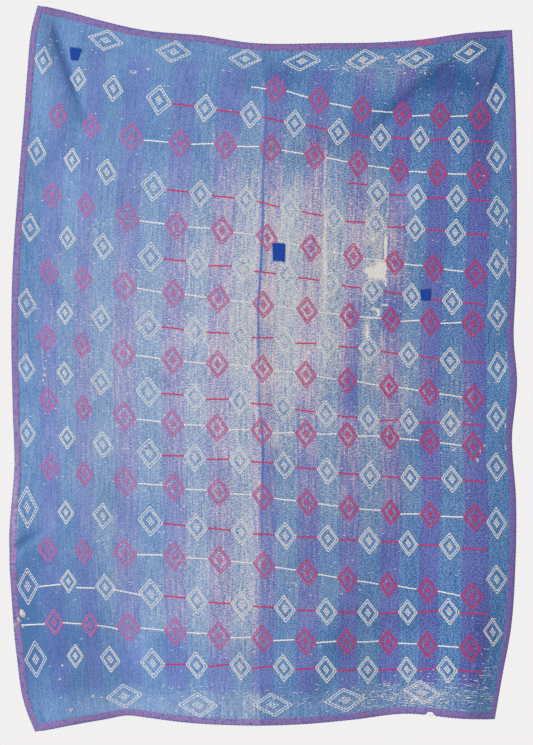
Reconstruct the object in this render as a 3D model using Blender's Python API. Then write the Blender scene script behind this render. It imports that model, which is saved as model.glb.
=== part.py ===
"""A kantha quilt, hanging by its two top corners: a quilted panel of worn sari cotton with a storage
crease down its middle, a binding folded round each edge, and three small mending patches.

Metres, +Z up. The front faces -Y. The origin is the middle of the top edge, where the crease meets it.
"across" runs from 0 at the left edge to 1 at the right edge, and "down" from 0 at the top edge to 1 at
the hem, along the cloth."""

import math

import bmesh
import bpy
import numpy as np

# Cloth sizes.
PANEL_THICKNESS = 0.0024
BINDING_WIDTH = 0.018
BINDING_THICKNESS = 0.0008
PATCH_THICKNESS = 0.0006
GAP = 0.0003
CUT_WIDTH = 1.41
CUT_LENGTH = 1.98

# Outline. Top and bottom edges: place across, then height above the origin.
TOP_EDGE = (
    (-0.636, 0.106),
    (-0.540, 0.085),
    (-0.476, 0.067),
    (-0.342, 0.036),
    (-0.174, 0.020),
    (-0.053, 0.001),
    (0.174, -0.001),
    (0.305, 0.001),
    (0.423, 0.008),
    (0.568, 0.028),
    (0.692, 0.038),
)
BOTTOM_EDGE = (
    (-0.645, -1.932),
    (-0.563, -1.914),
    (-0.437, -1.893),
    (-0.392, -1.885),
    (-0.325, -1.891),
    (-0.238, -1.901),
    (-0.092, -1.908),
    (0.084, -1.907),
    (0.252, -1.895),
    (0.400, -1.880),
    (0.535, -1.891),
    (0.645, -1.897),
)
# Side edges: distance down from the top corner, then place across.
LEFT_EDGE = (
    (0.000, -0.636),
    (0.060, -0.652),
    (0.180, -0.665),
    (0.310, -0.675),
    (0.490, -0.690),
    (0.730, -0.707),
    (0.900, -0.711),
    (1.100, -0.708),
    (1.290, -0.703),
    (1.500, -0.717),
    (1.650, -0.711),
    (1.820, -0.697),
    (1.970, -0.672),
    (2.038, -0.645),
)
RIGHT_EDGE = (
    (0.000, 0.692),
    (0.190, 0.701),
    (0.420, 0.706),
    (0.700, 0.704),
    (0.870, 0.698),
    (0.980, 0.706),
    (1.150, 0.693),
    (1.320, 0.704),
    (1.500, 0.702),
    (1.680, 0.690),
    (1.830, 0.663),
    (1.935, 0.645),
)
# Three threads of the warp, at these shares of the width. Rows: down, then where each thread hangs.
WARP_SHARES = (0.225, 0.500, 0.750)
WARP_THREADS = (
    (0.00, -0.347, 0.042, 0.398),
    (0.16, -0.374, 0.017, 0.377),
    (0.28, -0.386, 0.008, 0.366),
    (0.38, -0.393, -0.003, 0.356),
    (0.48, -0.396, -0.006, 0.350),
    (0.57, -0.393, -0.008, 0.352),
    (0.68, -0.390, -0.003, 0.356),
    (0.78, -0.392, -0.001, 0.349),
    (0.88, -0.382, -0.006, 0.349),
    (1.00, -0.378, -0.007, 0.347),
)

# The storage crease: down, then its share of the width.
CREASE = (
    (0.00, 0.4700),
    (0.05, 0.4785),
    (0.10, 0.4848),
    (0.20, 0.4868),
    (0.28, 0.4895),
    (0.42, 0.4902),
    (0.52, 0.4943),
    (0.59, 0.5012),
    (0.64, 0.4985),
    (0.70, 0.4935),
    (0.80, 0.4922),
    (1.00, 0.4970),
)
# Down, then how far the two side edges hang behind the crease.
BOOK_DEPTH = ((0.00, 0.014), (0.15, 0.024), (0.50, 0.034), (1.00, 0.028))
BOOK_RADIUS = 0.012
CREASE_HALF_WIDTH = 0.016
CREASE_HEIGHT = 0.0028

# Waves of the hem, which fade upwards: place across, then depth behind the hanging plane.
HEM_WAVES = (
    (-0.720, 0.008),
    (-0.600, -0.020),
    (-0.390, 0.024),
    (-0.120, -0.018),
    (0.100, -0.014),
    (0.400, 0.026),
    (0.590, -0.020),
    (0.720, 0.010),
)
HEM_FADE_POWER = 2.2

# Folds: name, from (across, height), to (across, height), half width, depth at each end. A trough goes
# back and has a positive depth, and a ridge comes forward and has a negative one.
FOLDS = (
    ("left grip trough", (-0.590, 0.060), (-0.512, -0.360), 0.036, 0.014, 0.003),
    ("left grip ridge", (-0.626, 0.040), (-0.604, -0.330), 0.030, -0.010, 0.000),
    ("left swag", (-0.520, 0.060), (-0.328, -0.260), 0.060, 0.007, 0.006),
    ("left swag ridge", (-0.600, 0.080), (-0.420, -0.200), 0.040, -0.008, 0.000),
    ("right grip trough", (0.668, 0.010), (0.622, -0.130), 0.028, 0.014, 0.000),
    ("right swag", (0.630, 0.000), (0.378, -0.200), 0.050, 0.013, 0.002),
    ("right swag ridge", (0.600, -0.060), (0.450, -0.260), 0.050, -0.007, 0.000),
    ("lower left pucker", (-0.712, -1.425), (-0.620, -1.335), 0.022, 0.010, 0.000),
    ("lower left ridge", (-0.712, -1.480), (-0.590, -1.400), 0.026, -0.009, 0.000),
    ("lower right trough", (0.330, -1.390), (0.326, -1.820), 0.040, 0.002, 0.010),
    ("hem curl", (0.182, -1.810), (0.150, -1.845), 0.022, 0.007, 0.007),
    ("upper right wave", (0.705, -0.830), (0.560, -0.820), 0.050, 0.014, 0.000),
    ("middle right wave", (0.705, -0.960), (0.580, -0.955), 0.045, -0.010, 0.000),
    ("lower right wave", (0.700, -1.110), (0.550, -1.090), 0.060, 0.014, 0.000),
    ("left edge wave", (-0.705, -1.180), (-0.580, -1.200), 0.060, 0.012, 0.000),
    ("left corner curl", (-0.716, -1.560), (-0.640, -1.930), 0.060, 0.004, 0.034),
    ("right corner curl", (0.706, -1.520), (0.640, -1.900), 0.060, 0.004, 0.034),
)
# Unevenness all over: length of the wave across and down, phase, height.
RIPPLES = (
    (0.260, 0.900, 0.4, 0.0013),
    (-0.340, 0.420, 1.9, 0.0012),
    (0.170, 1.600, 3.1, 0.0008),
    (0.900, 0.210, 5.0, 0.0010),
    (-0.150, 0.330, 2.4, 0.0006),
)

# Patches: name, left and right share of the width, top and bottom share of the length.
PATCHES = (
    ("patch_top_left", 0.0845, 0.1080, 0.0458, 0.0633),
    ("patch_centre", 0.5180, 0.5420, 0.2925, 0.3188),
    ("patch_right", 0.8060, 0.8268, 0.3715, 0.3884),
)

# Largest cell of the mesh.
CELL_ACROSS = 0.040
CELL_DOWN = 0.042
# The middle line of the mesh follows the crease, and the lines within this share of it are drawn along.
CREASE_REACH = 0.12

# Colour (linear) and roughness of each cloth.
FINISHES = {
    "quilt": ((0.105, 0.225, 0.480), 0.92),
    "binding": ((0.225, 0.135, 0.400), 0.90),
    "patch": ((0.010, 0.050, 0.400), 0.85),
}


def curve(table, at):
    """A smooth curve through the rows (place, value) of a table, read at these places."""
    places, values = np.array(table).T
    slopes = np.gradient(values, places)
    row = np.clip(np.searchsorted(places, at) - 1, 0, len(places) - 2)
    step = places[row + 1] - places[row]
    t = np.clip((at - places[row]) / step, 0.0, 1.0)
    start = values[row] * (1 + 2 * t) + slopes[row] * step * t
    end = values[row + 1] * (3 - 2 * t) - slopes[row + 1] * step * (1 - t)
    return start * (1 - t) ** 2 + end * t**2


def hang_across(across, down):
    """X of the cloth: one smooth curve across, through the two edges and the three warp threads."""
    knots = (0.0, *WARP_SHARES, 1.0)
    rows = np.array(WARP_THREADS)
    threads = [curve(rows[:, [0, column]], down) for column in range(1, rows.shape[1])]
    left = curve(LEFT_EDGE, down * LEFT_EDGE[-1][0])
    right = curve(RIGHT_EDGE, down * RIGHT_EDGE[-1][0])
    x = 0.0
    for knot, value in zip(knots, (left, *threads, right)):
        weight = 1.0
        for other in knots:
            if other != knot:
                weight = weight * (across - other) / (knot - other)
        x = x + weight * value
    return x


def hang_height(across, down):
    """Z of the cloth: each thread runs evenly from the top edge to the hem."""
    top = curve(TOP_EDGE, hang_across(across, 0.0 * down))
    bottom = curve(BOTTOM_EDGE, hang_across(across, 0.0 * down + 1.0))
    return top + (bottom - top) * down


def fold_depth(x, z, start, end, half_width, depth_start, depth_end):
    """Depth of one fold: a soft trough or ridge along a line."""
    run_x, run_z = end[0] - start[0], end[1] - start[1]
    along = ((x - start[0]) * run_x + (z - start[1]) * run_z) / (run_x**2 + run_z**2)
    along = np.clip(along, 0.0, 1.0)
    aside = np.hypot(x - start[0] - along * run_x, z - start[1] - along * run_z)
    depth = depth_start + (depth_end - depth_start) * along
    return depth * np.exp(-((aside / half_width) ** 2))


def hang_depth(x, z, down):
    """Y of the cloth: the book shape of the crease, the waves of the hem, the folds and the ripples."""
    beside = x - hang_across(curve(CREASE, down), down)
    book = curve(BOOK_DEPTH, down) / (CUT_WIDTH / 2)
    y = book * (np.sqrt(beside**2 + BOOK_RADIUS**2) - BOOK_RADIUS)
    y = y - CREASE_HEIGHT * np.exp(-((beside / CREASE_HALF_WIDTH) ** 2))
    y = y + curve(HEM_WAVES, x) * down**HEM_FADE_POWER
    for _, start, end, half_width, depth_start, depth_end in FOLDS:
        y = y + fold_depth(x, z, start, end, half_width, depth_start, depth_end)
    for length_x, length_z, phase, height in RIPPLES:
        y = y + height * np.sin(2 * math.pi * (x / length_x + z / length_z) + phase)
    return y


def hang(across, down):
    """Points of the hanging cloth's middle layer, before the origin is set."""
    across, down = np.broadcast_arrays(across, down)
    x = hang_across(across, down)
    z = hang_height(across, down)
    return np.stack((x, hang_depth(x, z, down), z), axis=-1)


def fill_lines(fixed, largest):
    """The fixed lines from 0 to 1, with evenly spaced lines between them where they are far apart."""
    lines = []
    for start, end in zip(fixed, fixed[1:]):
        count = max(1, math.ceil((end - start) / largest))
        lines += [start + (end - start) * step / count for step in range(count)]
    return lines + [fixed[-1]]


def mesh_lines():
    """Shares of the width and of the length where the mesh has its lines."""
    edge_across = BINDING_WIDTH / CUT_WIDTH
    edge_down = BINDING_WIDTH / CUT_LENGTH
    across = {0.0, edge_across, 0.5, 1.0 - edge_across, 1.0}
    down = {0.0, edge_down, 1.0 - edge_down, 1.0}
    for _, left, right, top, bottom in PATCHES:
        across |= {left, right}
        down |= {top, bottom}
    return (
        fill_lines(sorted(across), CELL_ACROSS / CUT_WIDTH),
        fill_lines(sorted(down), CELL_DOWN / CUT_LENGTH),
    )


def cloth_grid(lines_across, lines_down):
    """Points and front-facing normals of the middle layer, as arrays of [down, across]."""
    across, down = np.meshgrid(lines_across, lines_down)
    drawn = np.clip(1.0 - np.abs(across - 0.5) / CREASE_REACH, 0.0, 1.0)
    across = across + drawn * (curve(CREASE, down) - 0.5)
    small = 1e-4
    right = hang(np.minimum(across + small, 1.0), down) - hang(np.maximum(across - small, 0.0), down)
    lower = hang(across, np.minimum(down + small, 1.0)) - hang(across, np.maximum(down - small, 0.0))
    normals = np.cross(lower, right)
    normals /= np.linalg.norm(normals, axis=-1, keepdims=True)
    top_of_crease = hang(curve(CREASE, 0.0), 0.0)
    return hang(across, down) - top_of_crease, normals


def material(name):
    colour, roughness = FINISHES[name]
    made = bpy.data.materials.new(name)
    made.use_nodes = True
    shader = made.node_tree.nodes["Principled BSDF"]
    shader.inputs["Base Color"].default_value = (*colour, 1.0)
    shader.inputs["Roughness"].default_value = roughness
    shader.inputs["Metallic"].default_value = 0.0
    return made


def add_solid(name, points, triangles, finish):
    """One named object from a closed set of triangles, with its faces turned outwards."""
    mesh = bpy.data.meshes.new(name)
    shell = bmesh.new()
    corners = [shell.verts.new(point) for point in points]
    for triangle in triangles:
        shell.faces.new([corners[index] for index in triangle])
    bmesh.ops.recalc_face_normals(shell, faces=shell.faces)
    shell.to_mesh(mesh)
    shell.free()
    mesh.materials.append(finish)
    mesh.shade_smooth()
    mesh.set_sharp_from_angle(angle=math.radians(40))
    solid = bpy.data.objects.new(name, mesh)
    bpy.context.scene.collection.objects.link(solid)
    return solid


def slab(name, points, normals, low, high, finish):
    """A closed solid between two offsets of a piece of the cloth, along its normals."""
    rows, columns = points.shape[:2]
    front = (points + normals * high).reshape(-1, 3)
    back = (points + normals * low).reshape(-1, 3)
    behind = rows * columns
    triangles = []
    for row in range(rows - 1):
        for column in range(columns - 1):
            a = row * columns + column
            b, c, d = a + 1, a + columns + 1, a + columns
            triangles += [(a, c, b), (a, d, c)]
            triangles += [(behind + a, behind + b, behind + c), (behind + a, behind + c, behind + d)]
    rim = list(range(columns))
    rim += [row * columns + columns - 1 for row in range(1, rows)]
    rim += [(rows - 1) * columns + column for column in range(columns - 2, -1, -1)]
    rim += [row * columns for row in range(rows - 2, 0, -1)]
    for here, there in zip(rim, rim[1:] + rim[:1]):
        triangles += [(here, there, behind + there), (here, behind + there, behind + here)]
    return add_solid(name, np.concatenate((front, back)), triangles, finish)


def binding(name, edge, edge_normals, inner, inner_normals, from_edge, finish):
    """A strip folded round an edge of the panel: a U in section, run through stations along the edge.

    from_edge says that the panel's cells beneath split from the edge at each station to the inner line at
    the next, so that the legs, which split in the same way, keep the gap."""
    near = PANEL_THICKNESS / 2 + GAP
    far = near + BINDING_THICKNESS
    outwards = edge - inner
    outwards /= np.linalg.norm(outwards, axis=-1, keepdims=True)
    section = (
        inner + inner_normals * far,
        edge + edge_normals * far + outwards * (GAP + BINDING_THICKNESS),
        edge - edge_normals * far + outwards * (GAP + BINDING_THICKNESS),
        inner - inner_normals * far,
        inner - inner_normals * near,
        edge - edge_normals * near + outwards * GAP,
        edge + edge_normals * near + outwards * GAP,
        inner + inner_normals * near,
    )
    sides = len(section)
    stations = len(edge)
    points = np.stack(section, axis=1).reshape(-1, 3)
    triangles = []
    for station in range(stations - 1):
        for side in range(sides):
            a = station * sides + side
            b = station * sides + (side + 1) % sides
            c, d = b + sides, a + sides
            starts_at_edge = side in (2, 6)
            if starts_at_edge == from_edge:
                triangles += [(a, b, c), (a, c, d)]
            else:
                triangles += [(a, b, d), (b, c, d)]
    end = (stations - 1) * sides
    for a, b, c, d in ((0, 1, 6, 7), (1, 2, 5, 6), (2, 3, 4, 5)):
        triangles += [(a, c, b), (a, d, c)]
        triangles += [(end + a, end + b, end + c), (end + a, end + c, end + d)]
    return add_solid(name, points, triangles, finish)


def moved_ends(line, distance):
    """The same line of points with both ends moved along it: in for a positive distance, out for a negative."""
    line = line.copy()
    for end, beside in ((0, 1), (-1, -2)):
        run = line[beside] - line[end]
        line[end] += run / np.linalg.norm(run) * distance
    return line


def add_bindings(points, normals, finish):
    wrap = GAP + BINDING_THICKNESS
    for name, edge, inner, from_edge in (("binding_left", 0, 1, True), ("binding_right", -1, -2, False)):
        binding(
            name,
            moved_ends(points[:, edge], -wrap),
            normals[:, edge],
            moved_ends(points[:, inner], -wrap),
            normals[:, inner],
            from_edge,
            finish,
        )
    between = slice(1, -1)
    for name, edge, inner, from_edge in (("binding_top", 0, 1, True), ("binding_bottom", -1, -2, False)):
        binding(
            name,
            moved_ends(points[edge, between], GAP),
            normals[edge, between],
            moved_ends(points[inner, between], GAP),
            normals[inner, between],
            from_edge,
            finish,
        )


def add_patches(lines_across, lines_down, points, normals, finish):
    low = PANEL_THICKNESS / 2 + GAP
    for name, left, right, top, bottom in PATCHES:
        rows = slice(lines_down.index(top), lines_down.index(bottom) + 1)
        columns = slice(lines_across.index(left), lines_across.index(right) + 1)
        slab(name, points[rows, columns], normals[rows, columns], low, low + PATCH_THICKNESS, finish)


def main():
    for old in list(bpy.data.objects):
        bpy.data.objects.remove(old)
    finishes = {name: material(name) for name in FINISHES}
    lines_across, lines_down = mesh_lines()
    points, normals = cloth_grid(lines_across, lines_down)
    half = PANEL_THICKNESS / 2
    slab("quilt_panel", points, normals, -half, half, finishes["quilt"])
    add_bindings(points, normals, finishes["binding"])
    add_patches(lines_across, lines_down, points, normals, finishes["patch"])


main()
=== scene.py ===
"""The looks of a hanging kantha quilt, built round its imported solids. Metres, +Z up, front to -Y.

"across" and "down" are shares of the cloth's width and length, and "x" and "z" are where a point hangs.
The tables of the cloth are the ones of the solids, and hold places before the origin is set. The lengths
in tables made with metres() are written in millimetres."""

import functools
import math

import bpy
import numpy as np
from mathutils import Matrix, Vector


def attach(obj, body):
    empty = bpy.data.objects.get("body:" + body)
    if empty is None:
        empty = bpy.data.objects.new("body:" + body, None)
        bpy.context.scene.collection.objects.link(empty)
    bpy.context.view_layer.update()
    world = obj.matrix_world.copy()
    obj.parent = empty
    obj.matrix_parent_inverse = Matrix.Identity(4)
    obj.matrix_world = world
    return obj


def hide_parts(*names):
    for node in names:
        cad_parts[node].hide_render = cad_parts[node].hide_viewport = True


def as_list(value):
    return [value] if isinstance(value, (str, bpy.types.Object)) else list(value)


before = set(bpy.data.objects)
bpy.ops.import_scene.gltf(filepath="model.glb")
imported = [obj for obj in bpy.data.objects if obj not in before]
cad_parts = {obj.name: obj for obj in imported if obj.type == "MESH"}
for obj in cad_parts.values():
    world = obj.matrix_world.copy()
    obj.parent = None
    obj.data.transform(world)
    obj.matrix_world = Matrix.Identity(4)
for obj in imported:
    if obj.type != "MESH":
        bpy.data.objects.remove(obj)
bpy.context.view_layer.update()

# ---------------------------------------------------------------- the hanging cloth, as in the solids

PANEL_THICKNESS = 0.0024
BINDING_WIDTH = 0.018
CUT_WIDTH = 1.41
CUT_LENGTH = 1.98


def metres(lengths, rows):
    """A table with its first columns, which hold lengths in millimetres, turned into metres."""
    return tuple((*(value / 1000 for value in row[:lengths]), *row[lengths:]) for row in rows)


# The outline. Top and bottom: x, z. Left and right: distance down, x.
TOP_EDGE = metres(2, (
    (-636, 106), (-540, 85), (-476, 67), (-342, 36), (-174, 20), (-53, 1), (174, -1), (305, 1),
    (423, 8), (568, 28), (692, 38),
))
BOTTOM_EDGE = metres(2, (
    (-645, -1932), (-563, -1914), (-437, -1893), (-392, -1885), (-325, -1891), (-238, -1901),
    (-92, -1908), (84, -1907), (252, -1895), (400, -1880), (535, -1891), (645, -1897),
))
LEFT_EDGE = metres(2, (
    (0, -636), (60, -652), (180, -665), (310, -675), (490, -690), (730, -707), (900, -711),
    (1100, -708), (1290, -703), (1500, -717), (1650, -711), (1820, -697), (1970, -672), (2038, -645),
))
RIGHT_EDGE = metres(2, (
    (0, 692), (190, 701), (420, 706), (700, 704), (870, 698), (980, 706), (1150, 693), (1320, 704),
    (1500, 702), (1680, 690), (1830, 663), (1935, 645),
))
# Three threads of the warp, at these shares of the width: down, then x of each.
WARP_SHARES = (0.225, 0.5, 0.75)
WARP_THREADS = (
    (0, -0.347, 0.042, 0.398), (0.16, -0.374, 0.017, 0.377), (0.28, -0.386, 0.008, 0.366),
    (0.38, -0.393, -0.003, 0.356), (0.48, -0.396, -0.006, 0.35), (0.57, -0.393, -0.008, 0.352),
    (0.68, -0.39, -0.003, 0.356), (0.78, -0.392, -0.001, 0.349), (0.88, -0.382, -0.006, 0.349),
    (1, -0.378, -0.007, 0.347),
)
# The storage crease: down, then its share of the width.
CREASE = (
    (0, 0.47), (0.05, 0.4785), (0.1, 0.4848), (0.2, 0.4868), (0.28, 0.4895), (0.42, 0.4902),
    (0.52, 0.4943), (0.59, 0.5012), (0.64, 0.4985), (0.7, 0.4935), (0.8, 0.4922), (1, 0.497),
)
BOOK_DEPTH = ((0.0, 0.014), (0.15, 0.024), (0.5, 0.034), (1.0, 0.028))
BOOK_RADIUS = 0.012
CREASE_HALF_WIDTH = 0.016
CREASE_HEIGHT = 0.0028
# How far from it the lines of a mesh are drawn along with it, as a share of the width.
CREASE_REACH = 0.12
# Waves of the hem: x, depth.
HEM_WAVES = metres(2, (
    (-720, 8), (-600, -20), (-390, 24), (-120, -18), (100, -14), (400, 26), (590, -20), (720, 10),
))
HEM_FADE_POWER = 2.2
# Folds: from x, z, to x, z, half width, depth at each end.
FOLDS = metres(7, (
    (-590, 60, -512, -360, 36, 14, 3), (-626, 40, -604, -330, 30, -10, 0),
    (-520, 60, -328, -260, 60, 7, 6), (-600, 80, -420, -200, 40, -8, 0),
    (668, 10, 622, -130, 28, 14, 0), (630, 0, 378, -200, 50, 13, 2), (600, -60, 450, -260, 50, -7, 0),
    (-712, -1425, -620, -1335, 22, 10, 0), (-712, -1480, -590, -1400, 26, -9, 0),
    (330, -1390, 326, -1820, 40, 2, 10), (182, -1810, 150, -1845, 22, 7, 7),
    (705, -830, 560, -820, 50, 14, 0), (705, -960, 580, -955, 45, -10, 0),
    (700, -1110, 550, -1090, 60, 14, 0), (-705, -1180, -580, -1200, 60, 12, 0),
    (-716, -1560, -640, -1930, 60, 4, 34), (706, -1520, 640, -1900, 60, 4, 34),
))
# Ripples: length across, length down, height, phase.
RIPPLES = metres(3, (
    (260, 900, 1.3, 0.4), (-340, 420, 1.2, 1.9), (170, 1600, 0.8, 3.1), (900, 210, 1, 5),
    (-150, 330, 0.6, 2.4),
))
# Patches: their corners as shares (across, down), clockwise from the upper left.
PATCHES = (
    ("patch_top_left", ((0.0840, 0.0464), (0.1085, 0.0454), (0.1030, 0.0623), (0.0882, 0.0636))),
    ("patch_centre", ((0.5089, 0.2925), (0.5342, 0.2932), (0.5358, 0.3188), (0.5128, 0.3185))),
    ("patch_right", ((0.8057, 0.3712), (0.8266, 0.3720), (0.8270, 0.3885), (0.8068, 0.3878))),
)


def curve(table, at):
    """A smooth curve through the rows (place, value) of a table, read at these places."""
    places, values = np.array(table).T
    slopes = np.gradient(values, places)
    row = np.clip(np.searchsorted(places, at) - 1, 0, len(places) - 2)
    step = places[row + 1] - places[row]
    t = np.clip((at - places[row]) / step, 0.0, 1.0)
    start = values[row] * (1 + 2 * t) + slopes[row] * step * t
    end = values[row + 1] * (3 - 2 * t) - slopes[row + 1] * step * (1 - t)
    return start * (1 - t) ** 2 + end * t**2


def ramp(value, low, high):
    """0 up to low, 1 from high on, and even between. Where low is the higher of the two, it falls."""
    return np.clip((value - low) / (high - low), 0.0, 1.0)


def hang_across(across, down):
    """X of the cloth: one smooth curve across, through the two edges and the three warp threads."""
    knots = (0.0, *WARP_SHARES, 1.0)
    rows = np.array(WARP_THREADS)
    threads = [curve(rows[:, [0, column]], down) for column in range(1, rows.shape[1])]
    left = curve(LEFT_EDGE, down * LEFT_EDGE[-1][0])
    right = curve(RIGHT_EDGE, down * RIGHT_EDGE[-1][0])
    x = 0.0
    for knot, value in zip(knots, (left, *threads, right)):
        weight = 1.0
        for other in knots:
            if other != knot:
                weight = weight * (across - other) / (knot - other)
        x = x + weight * value
    return x


def hang_height(across, down):
    """Z of the cloth: each thread runs evenly from the top edge to the hem."""
    top = curve(TOP_EDGE, hang_across(across, 0.0 * down))
    bottom = curve(BOTTOM_EDGE, hang_across(across, 0.0 * down + 1.0))
    return top + (bottom - top) * down


def hang(across, down):
    return hang_across(across, down), hang_height(across, down)


def beside_line(x, z, x0, z0, x1, z1):
    """How far along a line a point lies, from 0 to 1, and its distance from the line."""
    run_x, run_z = x1 - x0, z1 - z0
    along = np.clip(((x - x0) * run_x + (z - z0) * run_z) / (run_x**2 + run_z**2), 0.0, 1.0)
    return along, np.hypot(x - x0 - along * run_x, z - z0 - along * run_z)


def hang_depth(x, z, down):
    """Y of the cloth: the book shape of the crease, the waves of the hem, the folds and the ripples."""
    beside = x - hang_across(curve(CREASE, down), down)
    book = curve(BOOK_DEPTH, down) / (CUT_WIDTH / 2)
    y = book * (np.sqrt(beside**2 + BOOK_RADIUS**2) - BOOK_RADIUS)
    y = y - CREASE_HEIGHT * np.exp(-((beside / CREASE_HALF_WIDTH) ** 2))
    y = y + curve(HEM_WAVES, x) * np.clip(down, 0.0, 1.1) ** HEM_FADE_POWER
    for *line, half_width, depth_start, depth_end in FOLDS:
        along, aside = beside_line(x, z, *line)
        depth = depth_start + (depth_end - depth_start) * along
        y = y + depth * np.exp(-((aside / half_width) ** 2))
    for length_x, length_z, height, phase in RIPPLES:
        y = y + height * np.sin(2 * math.pi * (x / length_x + z / length_z) + phase)
    return y


# The origin is where the crease meets the top edge.
ORIGIN_X, ORIGIN_Z = [float(value) for value in hang(CREASE[0][1], 0.0)]
ORIGIN = np.array((ORIGIN_X, float(hang_depth(ORIGIN_X, ORIGIN_Z, 0.0)), ORIGIN_Z))


def shares(x, z):
    """(across, down) of the points that hang at x, z, also a little outside the cloth. It starts from a
    flat, upright cloth and comes nearer in each round."""
    across = (np.asarray(x) + 0.70) / 1.40
    down = (0.03 - np.asarray(z)) / 1.95
    for _ in range(9):
        width = hang_across(1.0, down) - hang_across(0.0, down)
        across = across + (x - hang_across(across, down)) / width
        length = hang_height(across, 0.0 * down) - hang_height(across, 0.0 * down + 1.0)
        down = down + (hang_height(across, down) - z) / length
    return across, down


def from_edge(across, down):
    """The distance from the nearest edge, and less than 0 outside the cloth."""
    return np.minimum(np.minimum(across, 1 - across) * CUT_WIDTH, np.minimum(down, 1 - down) * CUT_LENGTH)


# ---------------------------------------------------------------- the pattern

# The eleven purple stripes, as shares of the width, and where the stripes start and end.
STRIPES = (
    (0.0517, 0.0903), (0.1233, 0.1586), (0.1998, 0.2485), (0.2995, 0.3442), (0.3884, 0.4336),
    (0.4769, 0.5203), (0.5636, 0.606), (0.6493, 0.6893), (0.7326, 0.7704), (0.8095, 0.8503),
    (0.8926, 0.938),
)
STRIPES_TOP = 0.0395
STRIPES_BOTTOM = 0.9555
# Near the top the outer stripes on the right lie further out, by this share of the width.
STRIPE_SHIFT = 0.006
# The fifth stripe leans towards the crease.
STRIPE_LEAN = 0.011
# Lower down, the right stripes and, near the hem, the two left ones lie further in.
LOWER_RIGHT_SHIFT = -0.0034
LOWER_LEFT_SHIFT = 0.007
# The outer edge of the last stripe lies further out near the hem.
LOWER_EDGE_SHIFT = 0.011


def diamond_table(rows):
    """Rows of diamonds: a smooth line through points (x, z), and the first stripe with a diamond."""
    return [(metres(2, points), first) for first, *points in rows]


# Rows of diamonds on the purple stripes: the first stripe with one, and points of the row. The points
# were read by eye, and half of them then corrected from what a scratch program measured in the photo.
MAGENTA_ROWS = diamond_table((
    (5, (35, -130), (150, -160), (270, -185), (385, -198), (605, -205)),
    (0, (-580, -202), (-375, -262), (15, -295), (375, -355), (600, -370)),
    (0, (-590, -425), (-385, -487), (10, -545), (130, -574), (590, -645)),
    (0, (-605, -640), (-395, -680), (-5, -732), (355, -775), (585, -785)),
    (0, (-610, -825), (-395, -870), (-5, -912), (350, -962), (580, -995)),
    (0, (-610, -1000), (-395, -1045), (-10, -1087), (355, -1105), (580, -1130)),
    (0, (-605, -1190), (-390, -1227), (-5, -1270), (355, -1315), (585, -1330)),
    (0, (-610, -1420), (-390, -1430), (0, -1462), (230, -1502), (580, -1550)),
    (0, (-590, -1623), (-380, -1638), (115, -1675), (350, -1680), (575, -1696)),
))
# The same for the blue stripes between them.
WHITE_ROWS = diamond_table((
    (0, (-520, -100), (-295, -160), (-40, -201), (320, -264), (545, -270)),
    (7, (200, -400), (315, -420), (425, -430), (540, -435)),
    (0, (-545, -325), (-310, -402), (-50, -439), (190, -491), (530, -530)),
    (0, (-550, -545), (-315, -600), (-60, -632), (305, -692), (525, -724)),
    (0, (-560, -755), (-325, -790), (-65, -820), (300, -859), (525, -890)),
    (0, (-560, -925), (-325, -977), (-70, -1003), (290, -1053), (520, -1065)),
    (0, (-555, -1105), (-320, -1150), (-65, -1169), (300, -1212), (525, -1222)),
    (0, (-555, -1315), (-320, -1340), (-60, -1370), (300, -1395), (525, -1411)),
    (0, (-550, -1508), (-320, -1544), (-65, -1573), (290, -1597), (515, -1593)),
    (0, (-530, -1717), (-310, -1739), (-60, -1745), (295, -1757), (515, -1755)),
))
# From this stripe on, a row's diamonds are joined by dashes.
FIRST_JOINED = 2
# Dashes by themselves: from x, z, to x, z, colour.
EXTRA_DASHES = metres(4, (
    (-38, -123, 5, -128, "white"), (230, -392, 286, -397, "magenta"),
    (-633, -1523, -571, -1516, "white"), (-529, -1526, -476, -1527, "white"),
    (-426, -1532, -347, -1547, "white"), (-683, -1632, -616, -1627, "white"),
    (-567, -1624, -515, -1628, "white"), (-470, -1632, -412, -1642, "white"),
))
# Border diamonds: x, z, half width, half height, drop from tip to tip for each metre to the right. A
# scratch program fitted these numbers to the photo, and they are rounded. report.md says which rule
# that breaks.
BORDER_DIAMONDS = metres(4, (
    (-621, -48, 25, 39, 0.25), (-640, -302, 27, 40, 0.3), (-659, -516, 28, 41, 0.3),
    (-669, -728, 28, 42, 0.3), (-670, -909, 26, 40, 0.25), (-668, -1093, 25, 40, 0.15),
    (-667, -1301, 31, 60, 0.15), (-665, -1522, 31, 53, -0.05), (-643, -1727, 32, 53, -0.1),
    (649, -154, 27, 43, -0.25), (650, -319, 29, 45, -0.1), (651, -470, 30, 44, -0.1),
    (651, -619, 28, 43, -0.05), (652, -762, 28, 43, -0.1), (653, -908, 28, 44, -0.15),
    (649, -1047, 27, 43, 0.05), (650, -1188, 29, 41, 0.15), (650, -1345, 29, 45, 0.05),
    (650, -1503, 30, 41, 0), (639, -1651, 27, 41, 0.15), (-446, 9, 50, 29, 0.2),
    (-256, -24, 50, 31, 0.1), (-55, -44, 47, 27, 0.05), (104, -51, 54, 28, -0.05),
    (274, -46, 48, 30, -0.15), (425, -42, 49, 30, -0.1), (574, -24, 48, 32, -0.2),
    (-395, -1831, 52, 34, -0.1), (-186, -1854, 56, 35, 0), (21, -1852, 57, 33, 0),
    (224, -1841, 57, 34, -0.1), (441, -1820, 52, 34, 0.1),
))
# How far the upper tip of a diamond leans to the right, for each half width: z, lean.
LEAN = (
    (-1.9, -0.08), (-1.2, -0.03), (-0.8, 0.01), (-0.5, 0.06), (-0.2, 0.11), (0.1, 0.14),
)

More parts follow.
